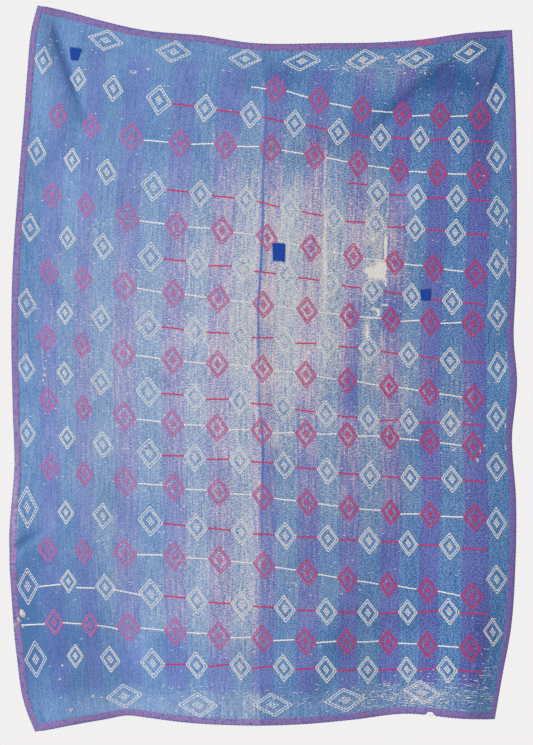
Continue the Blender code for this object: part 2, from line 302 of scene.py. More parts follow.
# Where the cloth is worn to its light threads: x, z, radius across, radius down, share, power. A high
# power gives a patch with an edge, and 1 a soft cloud. Below 0 the dye has held.
WEAR = metres(4, (
    (110, -720, 250, 400, 0.52, 1.7), (-190, -900, 290, 520, 0.35, 1.5),
    (-500, -880, 190, 520, 0.12, 1.5), (-110, -1500, 180, 200, 0.24, 2),
    (154, -500, 200, 110, 0.26, 1.5), (315, -600, 75, 150, 0.16, 1.8),
    (290, -1220, 170, 150, 0.42, 1.3), (540, -1100, 50, 260, 0.15, 1.3),
    (110, -1100, 170, 160, 0.1, 1.3), (126, -1450, 200, 300, 0.19, 1),
    (-380, -1530, 100, 120, 0.1, 1.3), (400, -980, 70, 130, 0.2, 1.3),
    (-270, -1340, 85, 85, -0.12, 1.5), (-100, -1854, 400, 50, 0.14, 1.5),
    (420, -1840, 180, 50, 0.3, 1.5), (336, -90, 80, 45, 0.09, 1.3), (246, -850, 26, 150, -0.5, 2),
    (-67, -560, 35, 150, -0.14, 2), (-330, -590, 60, 60, -0.14, 1.5), (235, -430, 60, 50, -0.17, 1.5),
    (320, -735, 55, 100, -0.34, 1.5), (300, -920, 50, 60, 0.18, 1.5), (190, -960, 70, 50, -0.14, 1.5),
    (-80, -960, 50, 70, -0.38, 1.5), (-150, -1190, 110, 35, -0.16, 1.5),
    (-430, -1410, 50, 90, 0.13, 1.3), (-280, -1625, 80, 35, 0.11, 1.3),
    (-120, -1380, 80, 45, -0.22, 1.5), (-125, -690, 70, 120, -0.22, 1.3),
    (262, -670, 35, 70, -0.2, 1.5), (160, -500, 110, 70, -0.24, 1.5), (180, -1030, 110, 80, -0.26, 1.5),
    (420, -1160, 50, 130, -0.14, 1.3), (-270, -990, 50, 60, -0.14, 1.5), (110, -1270, 90, 60, 0.2, 1.3),
    (-336, -1050, 50, 160, -0.12, 1.5), (202, -1683, 50, 50, -0.18, 1.3),
    (-100, -1790, 160, 50, -0.13, 1.3), (-262, -720, 35, 90, -0.11, 1.5),
    (-160, -835, 60, 45, 0.12, 1.5), (-30, -730, 60, 60, -0.08, 1.5), (100, -360, 60, 50, -0.1, 1.5),
    (269, -450, 35, 35, -0.14, 1.5), (134, -574, 35, 35, -0.14, 1.5), (202, -1128, 35, 35, -0.16, 1.5),
    (112, -1545, 35, 60, 0.09, 1.5), (-200, -1615, 40, 35, 0.1, 1.5), (-330, -1590, 60, 70, 0.06, 1.5),
    (311, -640, 28, 26, 0.85, 4), (300, -545, 18, 20, 0.5, 2), (317, -752, 10, 12, 0.6, 2),
    (168, -640, 6, 360, 0.65, 3), (90, -830, 6, 100, 0.4, 3), (286, -805, 5, 26, 0.7, 2),
    (274, -903, 5, 45, 0.7, 2), (328, -832, 5, 28, 0.7, 2), (-705, -1250, 12, 220, 0.4, 2),
))
# Where the outer cloth has worn through to the cotton below it: the same columns.
WORN_THROUGH = metres(4, (
    (324, -636, 17, 26, 1, 3), (298, -638, 24, 11, 1, 2), (300, -656, 20, 6, 0.8, 2),
    (338, -580, 4, 55, 1, 4), (338, -670, 3, 20, 0.8, 4), (300, -548, 14, 7, 0.6, 2),
    (308, -745, 16, 4, 0.9, 2), (337, -733, 12, 5, 0.8, 2), (318, -757, 4, 12, 0.9, 2),
    (286, -808, 5, 26, 0.9, 3), (168, -600, 5, 180, 0.6, 4), (-683, -1596, 6, 10, 1, 2),
))
# Where many single stitches have lost their dye: the same columns.
FRAYED = metres(4, (
    (330, -60, 160, 30, 0.45, 1.5), (580, -90, 60, 60, 0.08, 1.5), (460, -1825, 190, 42, 0.6, 1.5),
    (430, -1822, 60, 40, 0.5, 1.5), (620, -1780, 20, 60, 0.35, 1.5), (-180, -1810, 140, 14, 0.25, 1.5),
    (40, -1840, 300, 34, 0.13, 1.5), (300, -620, 120, 260, 0.15, 1.5),
))
# Where the binding is redder: the same columns.
RED_BINDING = metres(4, (
    (447, 2, 28, 14, 0.9, 1.5), (690, -1760, 12, 60, 0.35, 1.5), (60, -12, 80, 14, 0.2, 1.5),
))
# Holes and frayed spots: x, z, half width, half height, and how stained.
SPOTS = metres(4, (
    (-326, -71, 5, 5, 0), (-370, -81, 13, 6, 0), (318, -42, 12, 4.5, 0), (330, -39, 4, 6, 0),
    (372, -36, 13, 3.5, 0), (392, -84, 4, 3, 0), (449, -83, 4, 4, 0), (596, -112, 4, 5, 0),
    (528, -1137, 7, 7, 0), (596, -1168, 7, 6, 0.1), (615, -1128, 5, 2.5, 0), (604, -1142, 2, 11, 0),
    (-623, -868, 3.5, 5.5, 0.4), (-619, -912, 4, 4, 0), (-617, -930, 6, 6, 0), (-622, -945, 4, 5, 0),
    (-613, -890, 3, 2, 0.1), (-588, -778, 3, 3, 0.6), (-549, -857, 5, 3, 0.4), (-575, -1781, 4, 3, 0),
    (-543, -1868, 6, 6, 0.1), (-482, -1831, 5, 6, 0), (-459, -1834, 3, 2, 0), (-445, -1844, 3, 2, 1),
    (-568, -1744, 4, 3, 0), (-677, -1602, 6.5, 11, 0), (-690, -1620, 7, 7, 0.2),
    (-700, -1632, 4, 8, 0.2), (467, -1884, 8, 2, 0), (308, -744, 15, 3.5, 0), (335, -733, 11, 3.5, 0),
    (-684, -1597, 6, 11, 0), (-683, -1593, 5, 8, 0), (-692, -1614, 6, 6, 0.2),
))
# Where short loose threads lie along the weft, or the warp where they spread further down than
# across: x, z, spread across, spread down, and how many tufts.
TUFTS = metres(4, (
    (430, -1826, 90, 16, 34), (560, -1800, 40, 20, 8), (345, -46, 40, 10, 9), (300, -78, 110, 3, 5),
    (681, -560, 4, 110, 12), (676, -1010, 5, 60, 6),
))
# Darker (below 0) and lighter clouds: x, z, radius across, radius down, change. They are partly clouds in
# the dye and partly painted shade and light where the cloth folds.
TONE_AND_SHADE_CLOUDS = metres(4, (
    (550, -150, 150, 110, -0.08), (545, -105, 110, 35, -0.22), (605, -20, 30, 30, -0.22),
    (605, -230, 35, 140, -0.1), (180, -290, 100, 45, -0.15), (50, -85, 80, 40, -0.15),
    (403, -430, 30, 60, 0.24), (370, -1620, 110, 35, -0.14), (610, -1680, 50, 180, -0.14),
    (-540, -460, 35, 140, 0.13), (-600, -130, 40, 80, 0.12), (-545, -250, 30, 80, -0.1),
    (-670, -1600, 50, 300, -0.26), (-665, -620, 45, 320, -0.09), (-570, -1700, 130, 150, -0.18),
    (-345, -1690, 40, 80, 0.14), (-400, -1860, 300, 50, 0.1), (16, -1020, 16, 35, -0.16),
    (-308, -922, 12, 16, -0.18), (605, -255, 35, 80, -0.1), (482, -120, 30, 50, -0.07),
    (518, -55, 60, 20, 0.06), (-67, -105, 40, 40, -0.07), (-378, -190, 30, 80, -0.05),
    (-543, -1430, 30, 70, -0.06), (-670, -1060, 30, 70, 0.08), (-672, -1230, 30, 70, 0.08),
    (-538, -1745, 35, 35, 0.09), (202, -1700, 35, 50, -0.1), (0, -1806, 45, 20, -0.1),
))
# Sharper folds: half width, depth, change of the colour, and points (x, z, strength). The change is
# painted shade along a fold where it is below 0, and painted light beside a fold where it is above 0.
SHARP_FOLDS = [(*row[:3], metres(2, row[3:])) for row in metres(2, (
    (10, 9, -0.32, (-596, 56, 0.5), (-576, -6, 1), (-542, -104, 1), (-505, -228, 0.4)),
    (14, 0, -0.22, (-592, 20, 0.5), (-560, -90, 1), (-530, -210, 0.5)),
    (15, 7, -0.16, (533, -52, 0.8), (420, -132, 1), (355, -192, 1), (308, -239, 0.5)),
    (34, 0, -0.08, (538, -70, 1), (258, -241, 1)),
    (9, 7, -0.34, (668, -10, 0.7), (656, -60, 1), (638, -122, 0.6)),
    (9, 3, -0.1, (560, -56, 0.6), (510, -120, 0.2)), (30, 1, -0.05, (258, -241, 1), (118, -300, 1)),
    (30, 1, -0.06, (459, -1058, 1), (339, -1459, 1), (118, -1820, 1)),
    (7, 5, -0.32, (-712, -1425, 0.9), (-672, -1392, 1), (-630, -1366, 0.4)),
    (12, -3, 0.12, (-706, -1450, 0.5), (-650, -1400, 1), (-588, -1352, 0.3)),
))]
# Left of the crease the cloth is paler, partly faded and partly painted light of the side that faces the
# lamp: how much, how far that reaches, and from which share down.
PALE_LIT_SIDE = 0.10
PALE_REACH = 0.16
PALE_START = 0.30
# The strip beside the crease that kept its blue: down, then how blue it is.
UNFADED_STRIP = (
    (0, 0.3), (0.03, 0.45), (0.08, 0.7), (0.14, 0.6), (0.2, 0.8), (0.4, 0.85), (0.5, 0.6), (0.55, 0.7),
    (0.58, 0.95), (0.64, 0.9), (0.7, 0.45), (0.8, 0.3), (1, 0.3),
)
# A small tear in the hem: share of the width, half width, depth.
TEAR_ACROSS = 0.838
TEAR_HALF_WIDTH = 0.0120
TEAR_DEPTH = 0.0095


def lower_shift(across, down):
    """How far the stripes of the lower half lie to the right of their even places."""
    right = ramp(across, 0.60, 0.64) * ramp(across, 0.90, 0.86) * ramp(down, 0.35, 0.50)
    left = ramp(across, 0.21, 0.17) * ramp(down, 0.70, 0.82)
    edge = ramp(across, 0.918, 0.933) * ramp(down, 0.65, 0.85)
    return LOWER_RIGHT_SHIFT * right + LOWER_EDGE_SHIFT * edge + LOWER_LEFT_SHIFT * left


def stripe_share(across, down):
    """The share of the width at which a point's thread lies further down, where the stripes are even."""
    outer = ramp(across, 0.78, 0.85) * ramp(down, 0.40, 0.0)
    lean = np.exp(-(((across - 0.425) / 0.030) ** 2)) * np.clip(1.0 - (down - 0.03) / 0.06, 0.0, 1.2)
    return across - STRIPE_SHIFT * outer - STRIPE_LEAN * lean - lower_shift(across, down)


def cloud(x, z, centre_x, centre_z, radius_x, radius_z, power=1.0):
    """1 at the middle of a cloud or patch, and 0 far from it."""
    distance = ((x - centre_x) / radius_x) ** 2 + ((z - centre_z) / radius_z) ** 2
    return np.exp(-(distance**power))


def soft(table, x, z):
    """How far the clouds and patches of a table cover a point together: 0 where none lies."""
    bare = 1.0
    for *place, share, power in table:
        bare = bare * (1.0 - share * cloud(x, z, *place, power))
    return 1.0 - bare


def sharp_folds(x, z):
    """How near each sharp fold a point lies, from its strength on the line down to 0, with the fold's painted
    shade and light, and its depth.
    """
    for half_width, depth, change, points in SHARP_FOLDS:
        near = np.zeros_like(x)
        for (x0, z0, strong0), (x1, z1, strong1) in zip(points, points[1:]):
            along, distance = beside_line(x, z, x0, z0, x1, z1)
            strength = strong0 + (strong1 - strong0) * along
            near = np.maximum(near, strength * np.exp(-((distance / half_width) ** 2)))
        yield near, change, depth


def tone_and_shade_field(x, z):
    """How dark or light the cloth is painted, where 1 is even: clouds in the dye, with painted shade and
    light along the folds.
    """
    clouds = sum(change * cloud(x, z, *place) for *place, change in TONE_AND_SHADE_CLOUDS)
    return 1.0 + clouds + sum(change * near for near, change, _ in sharp_folds(x, z))


def tear(across):
    """How far the hem is torn back at a share of the width, in metres."""
    beside = (across - TEAR_ACROSS) * CUT_WIDTH / TEAR_HALF_WIDTH
    return TEAR_DEPTH * np.exp(-(beside**10))


# A diamond's width as a share of its stripe's, and its half height: a fixed part, and one for its width.
MOTIF_WIDTH = 0.98
MOTIF_HEIGHT = (0.0172, 0.72)
# Its drop: the part that follows the row, a fixed part, and how uneven drop and lean are.
MOTIF_DROP = (0.6, 0.09)
DROP_UNEVEN, LEAN_UNEVEN = 0.045, 0.03


def diamonds(seed, row, places, first):
    """(x, z, half width, half height, drop, lean) of one row of diamonds, each as wide as its stripe."""
    rng = np.random.default_rng(seed)
    made = []
    for left, right in places[first:]:
        share = (left + right) / 2
        x = (share - 0.5) * 1.4
        for _ in range(4):
            z = float(curve(row, x))
            _, down = shares(x, z)
            x = float(hang_across(share + lower_shift(share, down), down))
        row_drop = float(curve(row, x - 0.02) - curve(row, x + 0.02)) / 0.04
        drop = MOTIF_DROP[0] * row_drop + MOTIF_DROP[1] + rng.normal(0.0, DROP_UNEVEN)
        lean = float(curve(LEAN, z)) + rng.normal(0.0, LEAN_UNEVEN)
        half_width = MOTIF_WIDTH * (right - left) * CUT_WIDTH / 2
        made.append((x, z, half_width, MOTIF_HEIGHT[0] + MOTIF_HEIGHT[1] * half_width, drop, lean))
    return made


def border_diamond(x, z, half_width, half_height, drop):
    lean = -0.05 if x >= 0.6 else 1.2 * float(curve(LEAN, z))
    return (x, z, half_width, half_height, drop, lean)


BLUE_STRIPES = [(here[1], after[0]) for here, after in zip(STRIPES, STRIPES[1:])]
magenta_rows = [diamonds(seed, row, STRIPES, first) for seed, (row, first) in enumerate(MAGENTA_ROWS)]
white_rows = [diamonds(seed, row, BLUE_STRIPES, first) for seed, (row, first) in enumerate(WHITE_ROWS, 50)]
white_diamonds = [diamond for row in white_rows for diamond in row]
magenta_diamonds = [diamond for row in magenta_rows for diamond in row]
border_diamonds = [border_diamond(*row) for row in BORDER_DIAMONDS]

# ---------------------------------------------------------------- the surface, with its relief

GRID_STEP = 0.004
GRID_X = np.arange(-0.780, 0.781, GRID_STEP)
GRID_Z = np.arange(-2.020, 0.181, GRID_STEP)
PUCKER_HEIGHT = 0.00042
PUCKER_SHORTEST, PUCKER_LONGEST = 0.016, 0.060
MOTIF_PULL = 0.00050
RELIEF_LIMIT = 0.00070


def pucker_field():
    """Small bumps all over, between the two wavelengths, longer across than down."""
    noise = np.random.default_rng(5).standard_normal((len(GRID_Z), len(GRID_X)))
    waves = np.fft.rfft2(noise)
    down = np.fft.fftfreq(len(GRID_Z), GRID_STEP)[:, None]
    across = np.fft.rfftfreq(len(GRID_X), GRID_STEP)[None, :]
    number = np.hypot(down, across * 1.4)
    keep = np.exp(-((number * PUCKER_SHORTEST) ** 4)) * (1 - np.exp(-((number * PUCKER_LONGEST) ** 4)))
    field = np.fft.irfft2(waves * keep, s=noise.shape)
    return field / field.std()


def motif_field(motifs, reach, near):
    """0 away from the diamonds, and near(ring) by them, where ring is 0 in the middle and 1 on the sides."""
    field = np.zeros((len(GRID_Z), len(GRID_X)))
    for x, z, half_width, half_height, drop, _ in motifs:
        columns = np.flatnonzero(np.abs(GRID_X - x) < reach * half_width)
        lines = np.flatnonzero(np.abs(GRID_Z - z) < reach * half_height)
        beside = (GRID_X[columns] - x)[None, :]
        above = (GRID_Z[lines] - z)[:, None] + drop * beside
        ring = np.abs(beside) / half_width + np.abs(above) / half_height
        part = np.ix_(lines, columns)
        field[part] = np.maximum(field[part], near(ring))
    return field


def relief_field(across, down):
    """Puckers between the stitches. The rings of the diamonds are pulled flat, and so is the binding."""
    motifs = magenta_diamonds + white_diamonds + border_diamonds
    pulled = motif_field(motifs, 1.4, lambda ring: np.exp(-(((ring - 0.80) / 0.16) ** 2)))
    relief = PUCKER_HEIGHT * pucker_field() - MOTIF_PULL * pulled
    return RELIEF_LIMIT * np.tanh(relief / RELIEF_LIMIT) * ramp(from_edge(across, down), 0.012, 0.032)


def wear_and_lit_side_field(x, z, beside, down):
    """How worn the cloth is, less inside the white diamonds, whose stitches have guarded the dye. A paler
    band left of the crease is added, partly painted light of the side that faces the lamp.
    """
    kept = motif_field(white_diamonds, 1.2, lambda ring: np.exp(-((ring / 0.95) ** 8)))
    wear_and_lit_side = soft(WEAR, x, z) * (1.0 - 0.24 * kept)
    # The light patch below the middle ends at the crease.
    wear_and_lit_side = wear_and_lit_side * (1.0 - 0.60 * ramp(down, 0.56, 0.62) * ramp(beside, 0.0, 0.004))
    # Painted light, in part: a paler band left of the crease, on the side that faces the lamp.
    pale = PALE_LIT_SIDE * ramp(beside, 0.0, -0.003) * np.exp(-((beside / PALE_REACH) ** 2))
    return np.maximum(wear_and_lit_side, 0.0) + pale * np.clip(down / PALE_START, 0.3, 1.0)


def surface_fields():
    x, z = np.meshgrid(GRID_X, GRID_Z)
    across, down = shares(x, z)
    depth = hang_depth(x, z, down) + sum(fold * near for near, _, fold in sharp_folds(x, z))
    slope_z, slope_x = np.gradient(depth, GRID_STEP)
    beside = x - hang_across(curve(CREASE, down), down)
    wear_and_lit_side, unfaded = wear_and_lit_side_field(x, z, beside, down), curve(UNFADED_STRIP, down)
    relief, through = relief_field(across, down), soft(WORN_THROUGH, x, z)
    return np.stack((depth, slope_x, slope_z, relief, wear_and_lit_side, beside, unfaded, tone_and_shade_field(x, z), through))


FIELDS = surface_fields()


def fields_at(x, z):
    """Depth, its two slopes and relief; wear, with the paler band left of the crease that is partly painted
    light; distance beside the crease, blueness of its strip, tone with painted shade and light, and how far
    the cloth is worn through."""
    column = np.clip((x - GRID_X[0]) / GRID_STEP, 0, len(GRID_X) - 1.001)
    line = np.clip((z - GRID_Z[0]) / GRID_STEP, 0, len(GRID_Z) - 1.001)
    left, low = column.astype(int), line.astype(int)
    t, s = column - left, line - low
    upper = FIELDS[:, low + 1, left] * (1 - t) + FIELDS[:, low + 1, left + 1] * t
    lower = FIELDS[:, low, left] * (1 - t) + FIELDS[:, low, left + 1] * t
    return lower * (1 - s) + upper * s


def unit(vectors):
    return vectors / np.linalg.norm(vectors, axis=-1, keepdims=True)


def on_cloth(x, z, height):
    """Points this far in front of the cloth's middle layer, plus its relief, and the front normals."""
    depth, slope_x, slope_z, relief = fields_at(x, z)[:4]
    normals = unit(np.stack((slope_x, -np.ones_like(depth), slope_z), axis=-1))
    points = np.stack((x, depth, z), axis=-1) - ORIGIN
    return points + normals * (height + relief)[..., None], normals


# ---------------------------------------------------------------- meshes


def add_object(name, data, place=(0.0, 0.0, 0.0)):
    made = bpy.data.objects.new(name, data)
    made.location = place
    bpy.context.scene.collection.objects.link(made)
    return made


def add_values(mesh, name, values):
    """A number for each point of a mesh, for its finish."""
    store = mesh.attributes.new(name, "FLOAT", "POINT")
    store.data.foreach_set("value", np.ravel(values).astype(np.float32))


def add_mesh(name, points, faces, finish, x, z, sharp=None):
    """One object. x and z are where its points lie on the cloth, for its maps and its wear, which holds
    some painted light beside the crease.
    """
    mesh = bpy.data.meshes.new(name)
    points = np.ascontiguousarray(points.reshape(-1, 3), dtype=np.float32)
    faces = np.ascontiguousarray(faces, dtype=np.int32)
    mesh.vertices.add(len(points))
    mesh.vertices.foreach_set("co", points.ravel())
    mesh.loops.add(faces.size)
    mesh.loops.foreach_set("vertex_index", faces.ravel())
    mesh.polygons.add(len(faces))
    mesh.polygons.foreach_set("loop_start", np.arange(0, faces.size, faces.shape[1], dtype=np.int32))
    mesh.update(calc_edges=True)
    mesh.materials.append(finish)
    mesh.shade_smooth()
    if sharp:
        mesh.set_sharp_from_angle(angle=math.radians(sharp))
    add_maps(mesh, faces.ravel(), np.ravel(x), np.ravel(z))
    return add_object(name, mesh)


def add_maps(mesh, corners, x, z):
    """The cloth map in metres, the bake's map, and the wear of each point, which holds some painted light
    beside the crease, with its other fields.
    """
    across, down = shares(x, z)
    cloth = np.stack((stripe_share(across, down) * CUT_WIDTH, down * CUT_LENGTH), axis=-1)
    low, high = np.array((x.min(), z.min())), np.array((x.max(), z.max()))
    flat = (np.stack((x, z), axis=-1) - low) / (high - low)
    for name, values in (("Cloth", cloth), ("OFBake", flat)):
        layer = mesh.uv_layers.new(name=name)
        layer.uv.foreach_set("vector", values[corners].astype(np.float32).ravel())
    for name, values in zip(("wear_and_lit_side", "beside", "unfaded", "tone_and_shade", "through"), fields_at(x, z)[4:]):
        add_values(mesh, name, values)


def grid_faces(rows, columns):
    """Quads of a grid of points, facing forwards where rows run down and columns to the right."""
    corner = np.arange((rows - 1) * columns).reshape(rows - 1, columns)[:, :-1].ravel()
    return np.stack((corner, corner + columns, corner + columns + 1, corner + 1), axis=-1)


# ---------------------------------------------------------------- finishes


def linear(red, green, blue):
    """A colour as seen on a screen, 0 to 255, turned into the linear values that nodes take."""
    return (*((np.array((red, green, blue)) / 255.0) ** 2.2), 1.0)


class Value:
    """A number that nodes work out, which adds and multiplies like any other."""

    def __init__(self, finish, socket):
        self.finish, self.socket = finish, socket

    def __add__(self, other):
        return self.finish.math("ADD", self, other)

    def __sub__(self, other):
        return self.finish.math("SUBTRACT", self, other)

    def __rsub__(self, other):
        return self.finish.math("SUBTRACT", other, self)

    def __mul__(self, other):
        return self.finish.math("MULTIPLY", self, other)

    __radd__, __rmul__ = __add__, __mul__

    def clear(self, low, high):
        """0 at low, 1 at high, and even between. Low may be the higher of the two."""
        node = self.finish.make("ShaderNodeMapRange", self, low, high, 0.0, 1.0, clamp=True)
        return Value(self.finish, node.outputs[0])


class Finish:
    """One material, with short names for its nodes."""

    def __init__(self, name, roughness, sheen=0.0):
        self.material = bpy.data.materials.new(name)
        self.material.use_nodes = True
        self.nodes = self.material.node_tree.nodes
        self.links = self.material.node_tree.links
        self.shader = self.nodes["Principled BSDF"]
        self.look(roughness, sheen)

    def look(self, roughness, sheen):
        values = {"Roughness": roughness, "Specular IOR Level": 0.25}
        values.update({"Sheen Weight": sheen, "Sheen Roughness": 0.5})
        for key, value in values.items():
            self.shader.inputs[key].default_value = value

    @functools.cached_property
    def place(self):
        """The place on the cloth, in metres across and down."""
        return self.make("ShaderNodeUVMap", uv_map="Cloth").outputs[0]

    @functools.cached_property
    def axes(self):
        """The two numbers of the place: across, and down."""
        outputs = self.make("ShaderNodeSeparateXYZ", self.place).outputs
        return Value(self, outputs[0]), Value(self, outputs[1])

    def put(self, socket, value):
        if isinstance(value, Value):
            value = value.socket
        if isinstance(value, bpy.types.NodeSocket):
            self.links.new(value, socket)
        elif value is not None:
            socket.default_value = value

    def make(self, kind, *values, named=(), **settings):
        node = self.nodes.new(kind)
        for key, value in settings.items():
            setattr(node, key, value)
        for socket, value in zip(node.inputs, values):
            self.put(socket, value)
        for key, value in dict(named).items():
            self.put(node.inputs[key], value)
        return node

    def math(self, operation, *values):
        return Value(self, self.make("ShaderNodeMath", *values, operation=operation).outputs[0])

    def mix(self, share, first, second):
        named = {0: share, 6: first, 7: second}
        return self.make("ShaderNodeMix", data_type="RGBA", named=named).outputs[2]

    def blend(self, colours, first, second):
        """Three colours from left to right. first and second are where one turns into the next."""
        across, _ = self.axes
        left, middle, right = colours
        return self.mix(across.clear(*second), self.mix(across.clear(*first), left, middle), right)

    def shade(self, colour, share):
        """The colour made lighter or darker by a factor."""
        named = {0: colour[:3] if isinstance(colour, tuple) else colour, 3: share}
        return self.make("ShaderNodeVectorMath", operation="SCALE", named=named).outputs[0]

    def value(self, name):
        return Value(self, self.make("ShaderNodeAttribute", attribute_name=name).outputs["Fac"])

    def noise(self, across, down, detail=2.0, offset=0.0):
        """Noise round 0, with this many cells to the metre across and down."""
        moved = self.make("ShaderNodeMapping", self.place, (offset, offset, 0.0), None, (across, down, 1.0))
        named = {"Vector": moved.outputs[0], "Scale": 1.0, "Detail": detail, "Roughness": 0.55}
        node = self.make("ShaderNodeTexNoise", noise_dimensions="2D", named=named)
        return Value(self, node.outputs[0]) - 0.5

    def bump(self, height, distance, strength):
        named = {"Strength": strength, "Distance": distance, "Height": height}
        self.links.new(self.make("ShaderNodeBump", named=named).outputs[0], self.shader.inputs["Normal"])

    def colour(self, value):
        self.put(self.shader.inputs["Base Color"], value)
        return self.material


# Each dye where it is deep and where it is pale, on the left and on the right. The left ones are
# lighter, partly painted light of the left half, which faces the lamp, and partly dye.
BLUE_DEEP = (linear(76, 116, 171), linear(44, 93, 153))
BLUE_PALE = (linear(128, 160, 202), linear(115, 153, 197))
PURPLE_DEEP = (linear(77, 110, 171), linear(59, 79, 150))
PURPLE_PALE = (linear(125, 151, 206), linear(112, 128, 192))
FLECK_MAGENTA = linear(136, 100, 170)
UNFADED = linear(70, 112, 178)
# The light threads, on the left, in the middle and on the right: under the blue, and under the purple.
CREAMS = (linear(207, 213, 224), linear(212, 207, 204), linear(208, 196, 186))
ROSE_CREAMS = (linear(208, 198, 212), linear(211, 198, 200), linear(205, 186, 182))
PEACH = linear(232, 208, 198)
BARE_COTTON = linear(220, 215, 211)
BARE_THREAD = linear(218, 220, 226)
COTTON_ENDS = (linear(206, 203, 205), linear(238, 232, 226))
STAIN = linear(150, 122, 74)
BACK_COTTON = (linear(158, 174, 201), linear(180, 187, 204))
# Embroidery thread on the left, in the middle and on the right, where it is worn, and where it is fresh.
WHITE_THREAD = (linear(224, 224, 224), linear(226, 225, 224), linear(230, 227, 225))
WHITE_WORN, WHITE_FRESH = linear(186, 188, 186), linear(236, 233, 229)
MAGENTA_THREAD = (linear(184, 114, 168), linear(184, 84, 134), linear(186, 60, 114))
MAGENTA_WORN, MAGENTA_FRESH = linear(200, 150, 170), linear(206, 46, 98)
NAVY_THREAD = (linear(44, 76, 140), linear(38, 70, 130), linear(30, 62, 120))
NAVY_WORN = linear(60, 90, 150)
# The binding on the left and on the right, where it is worn, and its spots.
BINDING_DYE = (linear(133, 115, 165), linear(119, 102, 162))
BINDING_WORN = linear(196, 182, 214)
BINDING_ROSY, BINDING_RED, BINDING_BLUISH = linear(150, 92, 152), linear(214, 66, 118), linear(62, 92, 160)
PATCH_BLUES = (linear(8, 46, 134), linear(28, 78, 172))
STRIP_WIDTH = 0.0046
STITCH_PITCH_ACROSS = 0.0095
STITCH_PITCH_DOWN = 0.0068
FIRST_STRIPE_DROP = 0.020
# How far the stitches in a row that lost their dye together reach.
BARE_RUN = 0.030


def stripe_mask(finish, wobble):
    """1 on the purple stripes and 0 between them, with threads that stray over the edges."""
    across, down = finish.axes
    edges = finish.nodes.new("ShaderNodeValToRGB")
    edges.color_ramp.interpolation = "CONSTANT"
    stops = edges.color_ramp.elements
    while len(stops) < 2 * len(STRIPES) + 1:
        stops.new(0.5)
    for index, place in enumerate((0.0, *np.ravel(STRIPES))):
        stops[index].position = place
        stops[index].color = (*[float(index % 2)] * 3, 1.0)
    finish.put(edges.inputs[0], (across + 0.006 * wobble) * (1 / CUT_WIDTH))
    low = down + 0.014 * wobble
    top = STRIPES_TOP * CUT_LENGTH + FIRST_STRIPE_DROP * across.clear(0.16, 0.14)
    below_top = finish.math("GREATER_THAN", low, top)
    above_hem = finish.math("LESS_THAN", low, STRIPES_BOTTOM * CUT_LENGTH)
    outer = 0.6 * across.clear(1.08, 1.14) + across.clear(0.17, 0.13)
    faint = outer * down.clear(0.42, 0.16)
    return Value(finish, edges.outputs[0]) * below_top * above_hem * (1.0 - 0.5 * faint)


def unfaded_strip(finish, wobble):
    """How much of the strip beside the crease shows: its strength, within its width."""
    far = finish.math("ABSOLUTE", finish.value("beside") + 0.004 * wobble)
    return far.clear(STRIP_WIDTH, 0.55 * STRIP_WIDTH) * finish.value("unfaded")


def cloth_colour(finish, single=0.0):
    """The colour of the worn, striped cloth. single is how much lighter a single stitch is."""
    across, _ = finish.axes
    side, tone_and_shade, wear_and_lit_side = across.clear(0.30, 1.20), finish.value("tone_and_shade"), finish.value("wear_and_lit_side")
    fleck = finish.noise(200.0, 340.0, 1.0)
    warp = finish.noise(270.0, 11.0, 1.0, 3.1)
    mottle = finish.noise(55.0, 75.0, 2.0, 17.0)
    cloudy = finish.noise(13.0, 9.0, 3.0, 7.7)
    wobble = finish.noise(130.0, 300.0, 1.0, 11.3)
    # Painted shade and light: the tone deepens the dye along the folds, with clouds in the dye.
    dye = (2.2 * side + 1.8) * fleck + 0.8 * warp + 0.5 * mottle + 0.6 * cloudy + 2.1 * tone_and_shade - 1.6
    dye = dye.clear(0.0, 1.0)
    # side turns the left colours into the right ones: the left ones are partly painted light.
    blue = finish.mix(dye, finish.mix(side, *BLUE_DEEP), finish.mix(side, *BLUE_PALE))
    purple = finish.mix(dye, finish.mix(side, *PURPLE_DEEP), finish.mix(side, *PURPLE_PALE))
    purple = finish.mix(0.38 * finish.noise(170.0, 330.0, 1.0, 23.0).clear(0.06, 0.18), purple, FLECK_MAGENTA)
    striped, strip = stripe_mask(finish, wobble), unfaded_strip(finish, wobble)
    colour = finish.mix(striped * (1.0 - 0.65 * wear_and_lit_side.clear(0.35, 0.75)), blue, purple)
    # Painted shade: the tone darkens the colour along the folds.
    colour = finish.shade(finish.mix(strip, colour, UNFADED), 0.65 + 0.35 * tone_and_shade)
    # Pale threads show through: more where the cloth is worn, in the paler band left of the crease, which is
    # partly painted light, in its warp and in its rows of stitches.
    wear_and_lit_side = wear_and_lit_side * (1.0 - strip)
    speck = finish.noise(250.0, 440.0, 1.0, 41.0)
    weft = finish.noise(80.0, 420.0, 0.0, 53.0)
    streak = finish.noise(140.0, 9.0, 2.0, 67.0)
    level = 2.1 * speck + 0.9 * weft + 0.35 * warp + 0.75 * streak + 0.35 * cloudy
    level = level + 0.25 * finish.math("ABSOLUTE", level)
    gain = 3.3 * wear_and_lit_side * (1.12 - wear_and_lit_side) * (0.80 * side + 0.66)
    share = level * (gain + 0.10) + wear_and_lit_side - 0.05 + single
    cream, rose = [finish.blend(threads, (0.36, 0.64), (0.86, 1.06)) for threads in (CREAMS, ROSE_CREAMS)]
    rose = finish.mix(0.7 * (streak + 0.6 * warp).clear(0.02, 0.16), rose, PEACH)
    colour = finish.mix(share.clear(0.0, 1.0), colour, finish.mix(striped, cream, rose))
    grain = finish.noise(240.0, 380.0, 1.0, 83.0)
    colour = finish.shade(colour, grain * (0.9 * wear_and_lit_side + 0.1) + 1.0)
    through = finish.value("through") + 0.9 * finish.noise(110.0, 130.0, 2.0, 97.0)
    return finish.mix(through.clear(0.40, 0.56), colour, finish.shade(BARE_COTTON, 0.35 * grain + 1.0))


